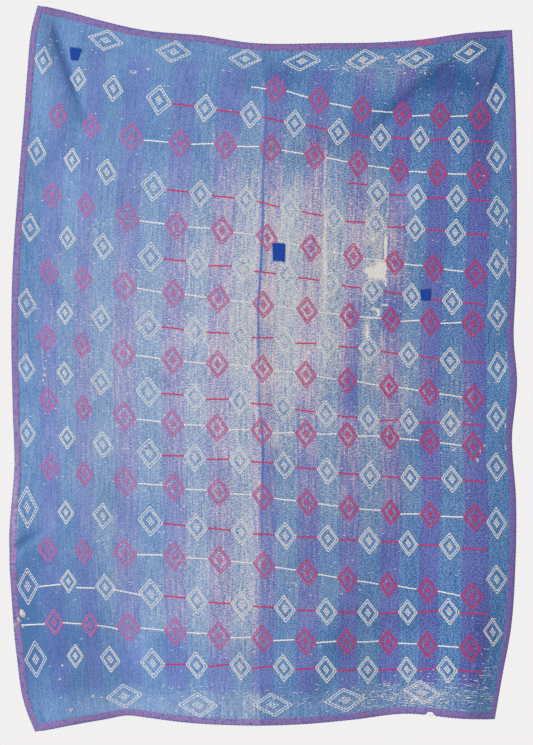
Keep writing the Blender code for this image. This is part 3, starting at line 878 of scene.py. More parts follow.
def stitch_rows(finish):
    """A wave down the cloth, with one turn for each row of running stitches."""
    _, down = finish.axes
    return finish.math("SINE", down * (2 * math.pi / STITCH_PITCH_DOWN))


def cloth_finish():
    finish = Finish("quilt_cloth", 0.92, 0.25)
    grain, crumple = finish.noise(700.0, 700.0, 1.0, 5.0), finish.noise(120.0, 60.0, 2.0, 9.0)
    finish.bump(0.22 * stitch_rows(finish) + grain + 1.4 * crumple, 0.0009, 0.9)
    return finish.colour(cloth_colour(finish))


def ground_finish():
    """The running stitches all over, in thread of nearly the same colour as the cloth."""
    finish = Finish("ground_thread", 0.88, 0.2)
    single = finish.value("single")
    return finish.colour(finish.mix(0.6 * single.clear(0.5, 1.0), cloth_colour(finish, single), BARE_THREAD))


def thread_finish(name, colours, worn, worn_share, fresh=None):
    """Embroidery thread with a little fuzz in its colour. fresh is its colour where it has faded least."""
    finish = Finish(name, 0.80, 0.15)
    colour = finish.blend(colours, (0.32, 0.74), (0.74, 1.10))
    if fresh:
        colour = finish.mix(finish.value("fresh"), colour, fresh)
    colour = finish.shade(colour, 0.8 * finish.noise(260.0, 260.0, 2.0, 2.0) + 1.0)
    finish.bump(finish.noise(900.0, 900.0, 1.0), 0.0004, 0.8)
    # The wear also holds the paler band left of the crease, partly painted light.
    return finish.colour(finish.mix(worn_share * finish.value("wear_and_lit_side"), colour, worn))


def frayed_finish():
    """Bare cotton ends, off-white, and brown where they are stained."""
    finish = Finish("frayed_cotton", 0.90, 0.2)
    colour = finish.mix(finish.noise(420.0, 420.0, 1.0, 6.0).clear(-0.15, 0.15), *COTTON_ENDS)
    finish.bump(finish.noise(900.0, 900.0, 1.0), 0.0004, 0.8)
    return finish.colour(finish.mix(finish.value("stain"), colour, STAIN))


def binding_finish():
    finish = Finish("binding_cloth", 0.90, 0.2)
    across, _ = finish.axes
    fleck = finish.noise(260.0, 380.0, 1.0, 1.7)
    colour = finish.mix(across.clear(0.05, 1.35), *BINDING_DYE)
    # The wear also holds the paler band left of the crease, partly painted light.
    colour = finish.mix(finish.value("wear_and_lit_side"), colour, BINDING_WORN)
    colour = finish.mix(0.6 * finish.noise(55.0, 70.0, 3.0, 13.0).clear(0.0, 0.16), colour, BINDING_ROSY)
    colour = finish.mix(finish.value("red") * fleck.clear(-0.15, 0.10), colour, BINDING_RED)
    bluish = finish.noise(90.0, 110.0, 2.0, 31.0).clear(0.04, 0.16)
    bluish = finish.math("MAXIMUM", bluish, finish.value("rim"))
    colour = finish.mix(0.65 * bluish, colour, BINDING_BLUISH)
    finish.bump(finish.noise(500.0, 500.0, 2.0, 4.0), 0.0007, 0.9)
    return finish.colour(finish.shade(colour, 1.2 * fleck + 1.0))


def patch_finish():
    finish = Finish("patch_cloth", 0.85, 0.15)
    finish.bump(finish.noise(800.0, 800.0, 1.0, 4.0), 0.0006, 0.9)
    return finish.colour(finish.mix(finish.noise(520.0, 520.0).clear(-0.15, 0.15), *PATCH_BLUES))


def back_finish():
    """The plain cotton of the back, faded, with the stitches of the front showing as small dents."""
    finish = Finish("back_cotton", 0.93, 0.2)
    colour = finish.mix(finish.noise(9.0, 7.0, 4.0, 3.0).clear(-0.15, 0.15), *BACK_COTTON)
    fleck, warp = finish.noise(220.0, 420.0, 1.0, 8.0), finish.noise(380.0, 10.0, 2.0, 2.0)
    finish.bump(0.5 * stitch_rows(finish) + finish.noise(150.0, 90.0, 2.0, 9.0), 0.0010, 0.9)
    return finish.colour(finish.shade(colour, 0.5 * fleck + 0.5 * warp + 1.0))


# ---------------------------------------------------------------- the two faces of the panel

FRONT_COLUMNS, FRONT_ROWS = 300, 330
BACK_COLUMNS, BACK_ROWS = 220, 290
# How much deeper the puckers of the back are.
BACK_RELIEF = 1.6


def sheet_places(columns, rows):
    """Places of a mesh's points. Near the middle its lines are drawn along so that one follows the crease."""
    across, down = np.meshgrid(np.linspace(0, 1, columns + 1), np.linspace(0, 1, rows + 1))
    drawn = np.clip(1.0 - np.abs(across - 0.5) / CREASE_REACH, 0.0, 1.0)
    across = across + drawn * (curve(CREASE, down) - 0.5)
    return hang(across, down - tear(across) / CUT_LENGTH * ramp(down, 0.97, 1.0))


def add_front(finish):
    x, z = sheet_places(FRONT_COLUMNS, FRONT_ROWS)
    points, _ = on_cloth(x, z, PANEL_THICKNESS / 2)
    return add_mesh("quilt_front", points, grid_faces(FRONT_ROWS + 1, FRONT_COLUMNS + 1), finish, x, z)


def add_back(finish):
    x, z = sheet_places(BACK_COLUMNS, BACK_ROWS)
    front, normals = on_cloth(x, z, 0.0)
    relief = fields_at(x, z)[3]
    points = front - normals * (PANEL_THICKNESS / 2 + BACK_RELIEF * relief)[..., None]
    return add_mesh("quilt_back", points, grid_faces(BACK_ROWS + 1, BACK_COLUMNS + 1)[:, ::-1], finish, x, z)


# ---------------------------------------------------------------- stitches

# Across a thread: how far to the side, and how high, as shares of its half width and height.
THREAD_SECTION = ((-1.0, -0.35), (-0.80, 0.55), (0.0, 1.0), (0.80, 0.55), (1.0, -0.35))
# Along a stitch: place, and share of its full size. Its ends lie a little under the cloth.
STITCH_STATIONS = ((0.0, 0.0), (0.07, 0.85), (0.93, 0.85), (1.0, 0.0))
STITCH_END = (0.0, -0.6)
# How far the tips and the sides of a running stitch lie under the cloth, and how high its top is.
GRAIN_TIP, GRAIN_SIDE, GRAIN_TOP = 0.0003, 0.0002, 0.00055
# Width, height and lift of each kind of thread.
THREADS = {
    "white": (0.0037, 0.0009, 0.0002),
    "border": (0.0032, 0.0009, 0.0002),
    "white_dash": (0.0048, 0.0011, 0.0003),
    "magenta": (0.0048, 0.0009, 0.0002),
    "magenta_dash": (0.0050, 0.0011, 0.0003),
}
# Stitches of each kind of diamond: its two rings, half of its middle, lines there, stitch and gap.
DIAMOND_KINDS = {
    "white": ((0.98, 0.77), 0.28, 4, 0.27, 0.02),
    "magenta": ((0.985, 0.775), 0.29, 4, 0.27, 0.015),
    "border": ((0.98, 0.79), 0.27, 4, 0.26, 0.015),
}
DASH_PITCH = 0.0088
DASH_OVERLAP = 0.0004
# Frayed ends: width and height of their thread, how many (beside five) for each square metre of a spot's
# half width times half height, and half a length.
FRAYED_THREAD = (0.0019, 0.0010)
FRAYED_ENDS = 2.2e5
FRAYED_REACH = (0.0012, 0.0026)
# How far above the cloth a thread lies on the binding.
OVER_BINDING = 0.0016
# Running stitches: how far they keep from the edge, their lengths and widths, and how many there are of
# the ones that the rows have room for.
GROUND_MARGIN = BINDING_WIDTH + 0.004
GROUND_LENGTH = (0.0040, 0.0068)
GROUND_WIDTH = (0.0013, 0.0021)
GROUND_SHARE = 0.96
# How much longer a stitch without dye is at each end, and how much wider.
BARE_LONGER, BARE_WIDER = 0.12, 1.25


def directions(lines):
    """The unit vector along each line (x0, z0, x1, z1)."""
    return unit(np.insert(lines[:, 2:] - lines[:, :2], 1, 0.0, axis=1))


def stack_stitches(points, faces, places):
    """Flat arrays from the points of one stitch, each an array over all stitches."""
    points, places = np.stack(points, axis=1), np.stack(places, axis=1)
    count, each = points.shape[:2]
    faces = np.array(faces)[None] + np.arange(count)[:, None, None] * each
    return points.reshape(-1, 3), faces.reshape(-1, 3), places.reshape(-1, 2)


def thread_stitches(lines, width, height, lift):
    """Rounded closed stitches along lines (x0, z0, x1, z1): points, faces and the place of each point."""
    half, tall = np.reshape(width, (-1, 1)) / 2, np.reshape(height, (-1, 1))
    points, places = [], []
    for along, size in STITCH_STATIONS:
        x, z = (lines[:, :2] + (lines[:, 2:] - lines[:, :2]) * along).T
        centre, normal = on_cloth(x, z, PANEL_THICKNESS / 2 + lift)
        sideways = unit(np.cross(normal, directions(lines)))
        section = [(aside * size, up * size) for aside, up in THREAD_SECTION] if size else [STITCH_END]
        for aside, up in section:
            points.append(centre + sideways * half * aside + normal * tall * up)
            places.append(np.stack((x, z), axis=-1))
    return stack_stitches(points, thread_faces(len(THREAD_SECTION), len(points) - 1), places)


def thread_faces(sides, last):
    """Triangles of one stitch. Point 0 is its start, and the last one its end."""
    faces = []
    for step in range(sides):
        after = (step + 1) % sides
        faces.append((1 + step, 1 + after, 0))
        faces.append((last - sides + after, last - sides + step, last))
        for here in range(1, last - sides, sides):
            there = here + sides
            faces.append((there + after, here + after, here + step))
            faces.append((there + step, there + after, here + step))
    return faces


def grain_stitches(lines, width):
    """Small running stitches, each shaped like a grain: two tips, two sides and a top."""
    starts, ends, middles = lines[:, :2], lines[:, 2:], (lines[:, :2] + lines[:, 2:]) / 2
    tips = [on_cloth(*place.T, PANEL_THICKNESS / 2 - GRAIN_TIP)[0] for place in (starts, ends)]
    middle, normal = on_cloth(*middles.T, PANEL_THICKNESS / 2)
    aside = np.cross(normal, directions(lines)) * width[:, None] / 2
    low = middle - normal * GRAIN_SIDE
    points = [*tips, low + aside, low - aside, middle + normal * GRAIN_TOP]
    faces = [(0, 2, 4), (0, 4, 3), (1, 4, 2), (1, 3, 4), (0, 3, 2), (1, 2, 3)]
    return stack_stitches(points, faces, [starts, ends, middles, middles, middles])


def diamond_template(rings, middle, lines, stitch, gap):
    """Stitches (r0, s0, r1, s1) of a diamond: its rings, and a small middle one filled with lines that
    break in turn. r runs up to the right and s down to the right, and its sides lie at 1 and -1."""
    made = []
    for ring in rings:
        count = max(1, round(2 * ring / (stitch + gap)))
        pitch = 2 * ring / count
        for a in [index * pitch - ring for index in range(count)]:
            b = a + pitch * stitch / (stitch + gap)
            made += [(a, ring, b, ring), (a, -ring, b, -ring), (ring, a, ring, b), (-ring, a, -ring, b)]
    for index, s in enumerate(np.linspace(-middle, middle, lines)):
        cut = middle * (0.35 if index % 2 else -0.35)
        made += [(-middle - 0.06, s, cut - 0.01, s), (cut + 0.01, s, middle + 0.06, s)]
    return np.array(made)


def place_template(template, x, z, half_width, half_height, drop, lean):
    """The template's stitches as lines (x0, z0, x1, z1) of one diamond."""
    ends = []
    for r, s in (template[:, :2].T, template[:, 2:].T):
        beside, above = (r + s) / 2, (r - s) / 2
        ends.append(x + (beside + lean * above) * half_width)
        ends.append(z + above * half_height - drop * beside * half_width)
    return np.stack(ends, axis=-1)


def dash_lines(rng, start, end):
    """A dash between two diamonds: a line of stitches that wavers a little."""
    count = max(2, round(math.dist(start, end) / DASH_PITCH))
    along = np.linspace(0.0, 1.0, count + 1)
    x = start[0] + (end[0] - start[0]) * along
    z = start[1] + (end[1] - start[1]) * along + rng.normal(0.0, 0.0004, count + 1)
    return np.stack((x[:-1] - DASH_OVERLAP, z[:-1], x[1:] + DASH_OVERLAP, z[1:]), axis=-1)


def tip(diamond, side):
    """The left (-1) or right (1) tip of a diamond."""
    x, z, half_width, _, drop, _ = diamond
    return (x + side * (half_width + 0.001), z - side * drop * half_width)


def row_dashes(rng, row, full):
    """Dashes from each diamond's right tip to the next one's left tip. A full row starts with gaps."""
    pairs = list(zip(row, row[1:]))[FIRST_JOINED if len(row) == full else 0 :]
    return [dash_lines(rng, tip(here, 1), tip(after, -1)) for here, after in pairs]


def end_dash(rng, diamond):
    """A dash from the last diamond of a row to the outer edge of the last stripe."""
    start, edge = tip(diamond, 1), STRIPES[-1][1]
    _, down = shares(*start)
    across = edge + STRIPE_SHIFT * ramp(down, 0.40, 0.0) + lower_shift(edge, down)
    return dash_lines(rng, start, (float(hang_across(across, down)), start[1] - 0.004))


def embroidery():
    """Lines of all stitches of each kind: diamonds, and dashes."""
    rng = np.random.default_rng(11)
    dashes = {"white": [], "magenta": []}
    for row in magenta_rows:
        dashes["white"] += row_dashes(rng, row, len(STRIPES))
    for row in white_rows:
        dashes["magenta"] += [*row_dashes(rng, row, len(BLUE_STRIPES)), end_dash(rng, row[-1])]
    for *line, colour in EXTRA_DASHES:
        dashes[colour].append(dash_lines(rng, line[:2], line[2:]))
    made = {f"{colour}_dash": np.concatenate(lines) for colour, lines in dashes.items()}
    motifs = (white_diamonds, magenta_diamonds, border_diamonds)
    for (kind, numbers), places in zip(DIAMOND_KINDS.items(), motifs):
        lines = np.concatenate([place_template(diamond_template(*numbers), *place) for place in places])
        made[kind] = lines + rng.normal(0.0, 0.00025, lines.shape)
    return made


def add_stitches(name, parts, finish, values=None):
    """One object of many stitches. values holds a name and a number for each part, or for each stitch."""
    points, faces, places = zip(*parts)
    before = np.cumsum([0] + [len(part) for part in points[:-1]])
    faces = np.concatenate([part + start for part, start in zip(faces, before)])
    made = add_mesh(name, np.concatenate(points), faces, finish, *np.concatenate(places).T)
    if values:
        title, numbers = values
        each = [np.repeat(number, len(part) // np.size(number)) for part, number in zip(points, numbers)]
        add_values(made.data, title, np.concatenate(each))
    return made


def add_embroidery(white, magenta):
    lines = embroidery()
    made = []
    for name, finish, kinds, fresh in (
        ("embroidery_white", white, ("white", "border", "white_dash"), (0.0, 0.0, 1.0)),
        ("embroidery_magenta", magenta, ("magenta", "magenta_dash"), (0.0, 1.0)),
    ):
        parts = [thread_stitches(lines[kind], *THREADS[kind]) for kind in kinds]
        made.append(add_stitches(name, parts, finish, ("fresh", fresh)))
    return made


def spots(rng):
    """All frayed spots: the ones with a place of their own, and the tufts along the weft or warp."""
    made = list(SPOTS)
    for x, z, spread_x, spread_z, count in TUFTS:
        for _ in range(count):
            place = (x + rng.normal(0.0, spread_x), z + rng.normal(0.0, spread_z))
            size = (rng.uniform(0.004, 0.012), rng.uniform(0.0008, 0.0022))
            made.append((*place, *(size if spread_x > spread_z else size[::-1]), 0.0))
    return made


def add_spots(finish):
    """Frayed cotton ends round the small holes. They lie in all directions, or along a long spot."""
    rng = np.random.default_rng(70)
    parts, stains = [], []
    for x, z, half_width, half_height, stain in spots(rng):
        count = 5 + round(FRAYED_ENDS * half_width * half_height)
        turn = rng.uniform(0.0, 2 * math.pi, count)
        out = np.sqrt(rng.uniform(0.0, 0.7, count))
        middle_x = x + half_width * out * np.cos(turn)
        middle_z = z + half_height * out * np.sin(turn)
        slim = max(half_width, half_height) > 1.9 * min(half_width, half_height)
        lie = rng.uniform(-1.0, 1.0, count) * (0.3 if slim else math.pi / 2)
        lie = lie + (math.pi / 2 if half_height > half_width else 0.0)
        reach = rng.uniform(*FRAYED_REACH, count)
        aside, up = reach * np.cos(lie), reach * np.sin(lie)
        lines = np.stack((middle_x - aside, middle_z - up, middle_x + aside, middle_z + up), axis=-1)
        over = OVER_BINDING * (from_edge(*shares(middle_x, middle_z)) < BINDING_WIDTH)
        parts.append(thread_stitches(lines, *FRAYED_THREAD, 0.0003 + over))
        stains.append(stain)
    return add_stitches("frayed_ends", parts, finish, ("stain", stains))


def ground_lines(seed, start, end):
    """Rows of running stitches in brick order, between two shares of the length."""
    rng = np.random.default_rng(seed)
    edge_across = GROUND_MARGIN / CUT_WIDTH
    rows = np.arange(start * CUT_LENGTH, end * CUT_LENGTH, STITCH_PITCH_DOWN) / CUT_LENGTH
    starts = np.arange(edge_across, 1 - edge_across, STITCH_PITCH_ACROSS / CUT_WIDTH)
    across, down = np.meshgrid(starts, rows)
    shape = across.shape
    across = across + (np.arange(shape[0]) % 2)[:, None] * STITCH_PITCH_ACROSS / 2 / CUT_WIDTH
    across = across + rng.normal(0.0, 0.0009, shape) / CUT_WIDTH
    down = down + rng.normal(0.0, 0.0005, shape) / CUT_LENGTH
    down = down + 0.0010 * np.sin(across * 40 + rng.uniform(0, 6, shape[0])[:, None]) / CUT_LENGTH
    length = rng.uniform(*GROUND_LENGTH, shape) / CUT_WIDTH
    tilt = rng.normal(0.0, 0.0005, shape) / CUT_LENGTH
    keep = rng.uniform(size=shape) < GROUND_SHARE
    across, down, length, tilt = across[keep], down[keep], length[keep], tilt[keep]
    return np.stack((*hang(across, down - tilt), *hang(across + length, down + tilt)), axis=-1)


def bare_stitches(rng, lines):
    """Which running stitches have lost their dye: often several in a row, where the cloth is worn."""
    x, z = lines[:, 0], lines[:, 1]
    wear_and_lit_side, beside = fields_at(x, z)[4:6]
    chance = 0.010 + 0.30 * np.clip(wear_and_lit_side, 0.0, 1.0) ** 1.3 + soft(FRAYED, x, z)
    chance = chance * (np.abs(beside + 0.002) > 0.006)
    row = np.floor(-z / STITCH_PITCH_DOWN).astype(int)
    run = np.floor(x / BARE_RUN + 0.37 * row).astype(int)
    runs = rng.uniform(size=(400, 80))[row % 400, run % 80]
    return 0.5 * (rng.uniform(size=len(x)) + runs) < np.sqrt(chance / 2)


def add_ground(name, seed, start, end, finish):
    """Running stitches between two shares of the length. The bare ones are longer, and thicker."""
    lines = ground_lines(seed, start, end)
    rng = np.random.default_rng(seed)
    bare = bare_stitches(rng, lines)
    width = rng.uniform(*GROUND_WIDTH, len(lines))
    uneven = rng.normal(0.0, 0.04, len(lines))
    pale = lines[bare]
    reach = BARE_LONGER * (pale[:, 2:] - pale[:, :2])
    pale = pale + np.concatenate((-reach, reach), axis=1)
    dyed = grain_stitches(lines[~bare], width[~bare])
    bleached = thread_stitches(pale, BARE_WIDER * width[bare], 0.0006, 0.0)
    return add_stitches(name, (dyed, bleached), finish, ("single", (uneven[~bare], 1.1 + uneven[bare])))


# ---------------------------------------------------------------- the binding

BINDING_STATION = 0.006
WHIP_PITCH = 0.012
# Across the binding, from its inner hem on the front round the edge to its inner hem on the back:
# distance from the hem, and height over the middle layer.
BINDING_OUTER = (
    (0, 0.00135), (0.0006, 0.00215), (0.004, 0.0025), (0.01, 0.00245), (0.0158, 0.00235),
    (0.0184, 0.0015), (0.0192, 0), (0.0184, -0.0015), (0.0158, -0.00235), (0.01, -0.00245),
    (0.004, -0.0025), (0.0006, -0.00215), (0, -0.00135),
)
BINDING_INNER = ((0.0170, -0.00130), (0.0170, 0.00130))
# The whip stitch on the front, as far as the edge, in the same way.
WHIP_FRONT = ((0.0162, 0.00215), (0.0173, 0.0027), (0.0188, 0.0020))
WHIP_EDGE = (0.0196, 0.0)
WHIP_RADIUS = 0.0006
# No thread on the edge runs in this direction, so that its section can be laid out from it.
ACROSS_ALL = (0.31, 0.0, 0.95)


def edge_track(edge, count):
    """Shares of points along an edge, and of the inner line beside them."""
    t = np.linspace(0.0, 1.0, count)
    across_in, down_in = BINDING_WIDTH / CUT_WIDTH, BINDING_WIDTH / CUT_LENGTH
    if edge == "left":
        return (0.0 * t, t), (0.0 * t + across_in, t)
    if edge == "right":
        return (0.0 * t + 1.0, t), (0.0 * t + 1.0 - across_in, t)
    t = across_in * 0.99 + t * (1 - 2 * across_in * 0.99)
    if edge == "top":
        return (t, 0.0 * t), (t, 0.0 * t + down_in)
    torn = tear(t) / CUT_LENGTH
    return (t, 1.0 - torn), (t, 1.0 - down_in - 0.25 * torn)


def edge_frames(edge, step):
    """Along an edge: the hem line in the middle layer, directions from it to the edge, front normals, how
    far apart the two are, and x and z of the edge."""
    length = CUT_LENGTH if edge in ("left", "right") else CUT_WIDTH
    outer, inner = edge_track(edge, round(length / step) + 1)
    edge_x, edge_z = hang(*outer)
    outside, normals = on_cloth(edge_x, edge_z, 0.0)
    inside, _ = on_cloth(*hang(*inner), 0.0)
    width = np.linalg.norm(outside - inside, axis=-1)
    return inside, unit(outside - inside), normals, width, edge_x, edge_z


def smooth_noise(rng, size, count, window):
    """Random values, each the mean of this many draws."""
    return np.convolve(rng.normal(0.0, size, count + window - 1), np.ones(window) / window, "valid")


def binding_faces(stations, sides):
    """Quads of a tube of points that is open at both ends."""
    corner = np.arange((stations - 1) * sides).reshape(stations - 1, sides)
    after = np.roll(corner, -1, axis=1)
    return np.stack((corner, after, after + sides, corner + sides), axis=-1).reshape(-1, 4)


def add_binding(edge, finish):
    """A strip folded round an edge, with an uneven hem and puffs, and pinched by the whip stitches."""
    inside, outwards, normals, width, edge_x, edge_z = edge_frames(edge, BINDING_STATION)
    stations, section = len(inside), BINDING_OUTER + BINDING_INNER
    rng = np.random.default_rng(len(edge))
    hem, puff = smooth_noise(rng, 0.0011, stations, 7), smooth_noise(rng, 0.0009, stations, 5)
    pinch = 0.5 + 0.5 * np.cos(2 * math.pi * np.arange(stations) * BINDING_STATION / WHIP_PITCH)
    points, x, z = [], [], []
    for aside, up in section:
        near_hem, near_edge = max(0.0, 1.0 - aside / 0.008), max(0.0, (aside - 0.012) / 0.0072)
        out = aside * width / BINDING_WIDTH - hem * near_hem - 0.0004 * pinch * near_edge
        tall = up * (1.0 - 0.20 * pinch * near_edge)
        tall = tall + math.copysign(1.0, up) * np.abs(puff) * (abs(up) > 0.002)
        points.append(inside + outwards * out[:, None] + normals * tall[:, None])
        x.append(edge_x - outwards[:, 0] * (width - out))
        z.append(edge_z - outwards[:, 2] * (width - out))
    points, x, z = np.stack(points, axis=1), np.stack(x, axis=1), np.stack(z, axis=1)
    faces = binding_faces(stations, len(section))
    if edge in ("right", "top"):
        faces = faces[:, ::-1]
    made = add_mesh(f"binding_{edge}_cloth", points, faces, finish, x, z, 60)
    rim = [float(ramp(aside, 0.0150, 0.0180)) for aside, _ in section]
    add_values(made.data, "rim", np.tile(rim, stations))
    add_values(made.data, "red", soft(RED_BINDING, x, z))
    return made


def whip_stitches(edge):
    """Threads that wind over an edge, from the front to the back. They lean along it a little."""
    frames = edge_frames(edge, WHIP_PITCH)
    run = unit(np.gradient(frames[0], axis=0))[1:-1]
    inside, outwards, normals, width, *places = [part[1:-1] for part in frames]
    rng = np.random.default_rng(40 + len(edge))
    lean = rng.normal(0.0022, 0.0006, len(inside))[:, None]
    arc = (*WHIP_FRONT, WHIP_EDGE, *[(aside, -up) for aside, up in WHIP_FRONT[::-1]])
    rings = []
    for (aside, up), along in zip(arc, np.linspace(-1.0, 1.0, len(arc))):
        centre = inside + outwards * aside * (width / BINDING_WIDTH)[:, None] + normals * up
        rings.append(centre + run * lean * along)
    return tubes(rings, WHIP_RADIUS, places)


def tubes(rings, radius, places):
    """Closed four-sided threads through these centre points, one for each place along an edge."""
    centres = np.stack(rings, axis=1)
    steps = centres.shape[1]
    tangents = unit(np.gradient(centres, axis=1))
    first = unit(np.cross(tangents, ACROSS_ALL))
    second = np.cross(tangents, first)
    points, faces = [], []
    for step in range(steps):
        size = radius * (0.55 if step in (0, steps - 1) else 1.0)
        for angle in [math.pi / 2 * turn for turn in range(4)]:
            offset = first[:, step] * math.cos(angle) + second[:, step] * math.sin(angle)
            points.append(centres[:, step] + offset * size)
    for step in range(steps - 1):
        for turn in range(4):
            a, b = step * 4 + turn, step * 4 + (turn + 1) % 4
            faces += [(a, b, b + 4), (a, b + 4, a + 4)]
    last = (steps - 1) * 4
    faces += [(0, 2, 1), (0, 3, 2), (last, last + 1, last + 2), (last, last + 2, last + 3)]
    return stack_stitches(points, faces, [np.stack(places, axis=-1)] * len(points))


# ---------------------------------------------------------------- patches

PATCH_CELLS = 14
PATCH_LIFT = 0.0005
PATCH_THICKNESS = 0.0007
PATCH_CROWN = 0.0005


def add_patch(name, corners, finish):
    """A scrap of cloth laid on the front, its edges a little uneven and turned down to the cloth."""
    rng = np.random.default_rng(len(name))
    count = PATCH_CELLS + 1
    u, v = np.meshgrid(np.linspace(0, 1, count), np.linspace(0, 1, count))
    left, right, top, bottom = np.cumsum(rng.normal(0.0, 0.010, (4, count)), axis=1)
    moved_u = u + left[:, None] * (1 - u) + right[:, None] * u
    moved_v = v + top * (1 - v) + bottom * v
    x, z = hang(*patch_places(corners, moved_u, moved_v))
    rim = np.maximum(np.abs(2 * u - 1), np.abs(2 * v - 1))
    crown = PATCH_CROWN * (1 - rim**6) + rng.normal(0.0, 0.00012, rim.shape)
    height = PANEL_THICKNESS / 2 + PATCH_LIFT + PATCH_THICKNESS + crown
    front, normals = on_cloth(x, z, 0.0)
    upper, lower = front + normals * height[..., None], front + normals * (PANEL_THICKNESS / 2 - 0.0002)
    faces, edge = grid_faces(count, count), rim_of(count)
    after = np.roll(edge, -1)
    walls = np.stack((edge, after, after + x.size, edge + x.size), axis=-1)
    faces = np.concatenate((faces, faces[:, ::-1] + x.size, walls))
    return add_mesh(f"{name}_cloth", np.stack((upper, lower)), faces, finish, (x, x), (z, z), 50)


def patch_places(corners, u, v):
    """Shares (across, down) of places in a patch, between its four corners."""
    (a, b, c, d) = np.array(corners)
    u, v = np.asarray(u)[..., None], np.asarray(v)[..., None]
    mixed = a * (1 - u) * (1 - v) + b * u * (1 - v) + c * u * v + d * (1 - u) * v
    return mixed[..., 0], mixed[..., 1]


def rim_of(count):
    """Indices round a square grid, clockwise from its first corner."""
    grid = np.arange(count * count).reshape(count, count)
    return np.concatenate((grid[0], grid[1:, -1], grid[-1, -2::-1], grid[-2:0:-1, 0]))


def add_patch_stitches(finish):
    """Small stitches over the edges of the patches."""
    rng = np.random.default_rng(60)
    lines = []
    for _, corners in PATCHES:
        for t in np.linspace(0.06, 0.94, 8):
            for u, v, out_u, out_v in ((t, 0, 0, -1), (t, 1, 0, 1), (0, t, -1, 0), (1, t, 1, 0)):
                u, v = u + rng.normal(0, 0.02), v + rng.normal(0, 0.02)
                inner = patch_places(corners, u - 0.06 * out_u, v - 0.06 * out_v)
                outer = patch_places(corners, u + 0.04 * out_u, v + 0.04 * out_v)
                lines.append((*hang(*inner), *hang(*outer)))
    return add_stitches("patch_stitches", [thread_stitches(np.array(lines), 0.0011, 0.0010, 0.0010)], finish)


# ---------------------------------------------------------------- stage

# The photo: metres for each of its pixels, and in pixels its height, its middle and the place where the
# tables have x = 0, z = 0.
PIXEL = 0.0028
PHOTO_HEIGHT = 745
PHOTO_MIDDLE = (266.5, 372.5)
TABLES_ZERO = (265.0, 43.0)
CAMERA_DISTANCE = 14.0
SENSOR_HEIGHT = 24.0
FLOOR_RADIUS, FLOOR_HEIGHT = 1.6, -2.25
MIDDLE_OF_QUILT = (0.0, 0.0, -0.9)


def add_floor():
    turns = np.linspace(0, 2 * math.pi, 96, endpoint=False)
    rim = [(FLOOR_RADIUS * math.cos(turn), FLOOR_RADIUS * math.sin(turn), 0.0) for turn in turns]
    mesh = bpy.data.meshes.new("floor")
    mesh.from_pydata(rim, [], [tuple(range(len(rim)))])
    mesh.materials.append(Finish("floor_paint", 0.9).colour((0.82, 0.82, 0.82, 1.0)))
    add_object("floor", mesh, (0.0, 0.0, FLOOR_HEIGHT))


def add_light(name, *, place, size, power):
    lamp = bpy.data.lights.new(name, "AREA")
    lamp.shape, lamp.size, lamp.energy = "DISK", size, power
    towards = Vector(MIDDLE_OF_QUILT) - Vector(place)
    add_object(name, lamp, place).rotation_euler = towards.to_track_quat("-Z", "Y").to_euler()


def add_world():
    """Even light from all round, and a paler plain ground for the camera."""
    world = bpy.data.worlds.new("studio")
    world.use_nodes = True
    nodes, links = world.node_tree.nodes, world.node_tree.links
    lit, seen = nodes["Background"], nodes.new("ShaderNodeBackground")
    for node, colour, strength in (
        (lit, (1.0, 0.99, 0.98, 1.0), 0.50),
        (seen, (0.885, 0.865, 0.870, 1.0), 1.0),
    ):
        node.inputs[0].default_value = colour
        node.inputs[1].default_value = strength
    path, mix = nodes.new("ShaderNodeLightPath"), nodes.new("ShaderNodeMixShader")
    for index, output in enumerate((path.outputs["Is Camera Ray"], lit.outputs[0], seen.outputs[0])):
        links.new(output, mix.inputs[index])
    links.new(mix.outputs[0], nodes["World Output"].inputs[0])
    bpy.context.scene.world = world


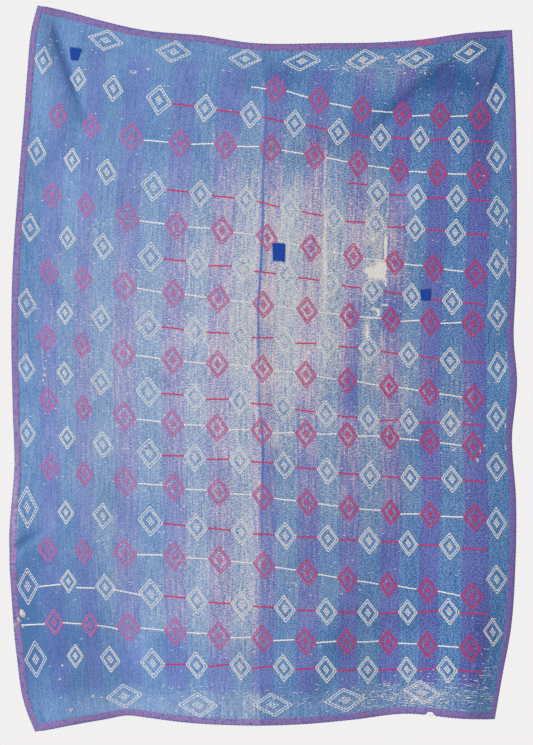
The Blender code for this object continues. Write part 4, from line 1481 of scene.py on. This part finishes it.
def add_camera():
    """The photo's view, straight from the front."""
    camera = bpy.data.cameras.new("camera")
    camera.sensor_fit, camera.sensor_height = "VERTICAL", SENSOR_HEIGHT
    camera.lens = SENSOR_HEIGHT * CAMERA_DISTANCE / (PHOTO_HEIGHT * PIXEL)
    x = (PHOTO_MIDDLE[0] - TABLES_ZERO[0]) * PIXEL - ORIGIN_X
    z = (TABLES_ZERO[1] - PHOTO_MIDDLE[1]) * PIXEL - ORIGIN_Z
    made = add_object("camera", camera, (x, -CAMERA_DISTANCE, z))
    made.rotation_euler = (math.pi / 2, 0.0, 0.0)
    bpy.context.scene.camera = made


# ---------------------------------------------------------------- putting it together


def add_cloth():
    """The panel, its bindings and its patches: (piece, slot, the node it replaces)."""
    yield add_front(cloth_finish()), "quilt_cloth", "quilt_panel"
    yield add_back(back_finish()), "quilt_cloth", None
    binding, patch = binding_finish(), patch_finish()
    for edge in ("left", "right", "top", "bottom"):
        yield add_binding(edge, binding), "binding", f"binding_{edge}"
    for name, corners in PATCHES:
        yield add_patch(name, corners, patch), "patch_cloth", name


def add_threads():
    """The stitches and frayed ends: (piece, slot, None)."""
    white = thread_finish("thread_white", WHITE_THREAD, WHITE_WORN, 0.7, WHITE_FRESH)
    magenta = thread_finish("thread_magenta", MAGENTA_THREAD, MAGENTA_WORN, 0.12, MAGENTA_FRESH)
    navy = thread_finish("thread_blue", NAVY_THREAD, NAVY_WORN, 0.2)
    for piece, slot in zip(add_embroidery(white, magenta), ("thread_white", "thread_magenta")):
        yield piece, slot, None
    ground, edge = ground_finish(), GROUND_MARGIN / CUT_LENGTH
    yield add_ground("ground_stitches_upper", 21, edge, 0.5, ground), "quilt_cloth", None
    yield add_ground("ground_stitches_lower", 22, 0.5, 1 - edge, ground), "quilt_cloth", None
    yield add_spots(frayed_finish()), "thread_white", None
    whip = [whip_stitches(name) for name in ("left", "right", "top", "bottom")]
    yield add_stitches("edge_stitches", whip, navy), "thread_blue", None
    yield add_patch_stitches(navy), "thread_blue", None


def dress():
    pieces = []
    for piece, slot, node in (*add_cloth(), *add_threads()):
        if node:
            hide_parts(node)
        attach(piece, "root")
        pieces.append(piece)
    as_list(pieces[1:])


add_world()
add_camera()
add_light("key", place=(-5.0, -7.0, 2.0), size=2.2, power=530.0)
add_light("fill", place=(3.0, 7.0, 1.6), size=2.4, power=420.0)
add_floor()
dress()
bpy.context.scene.view_settings.view_transform = "Standard"
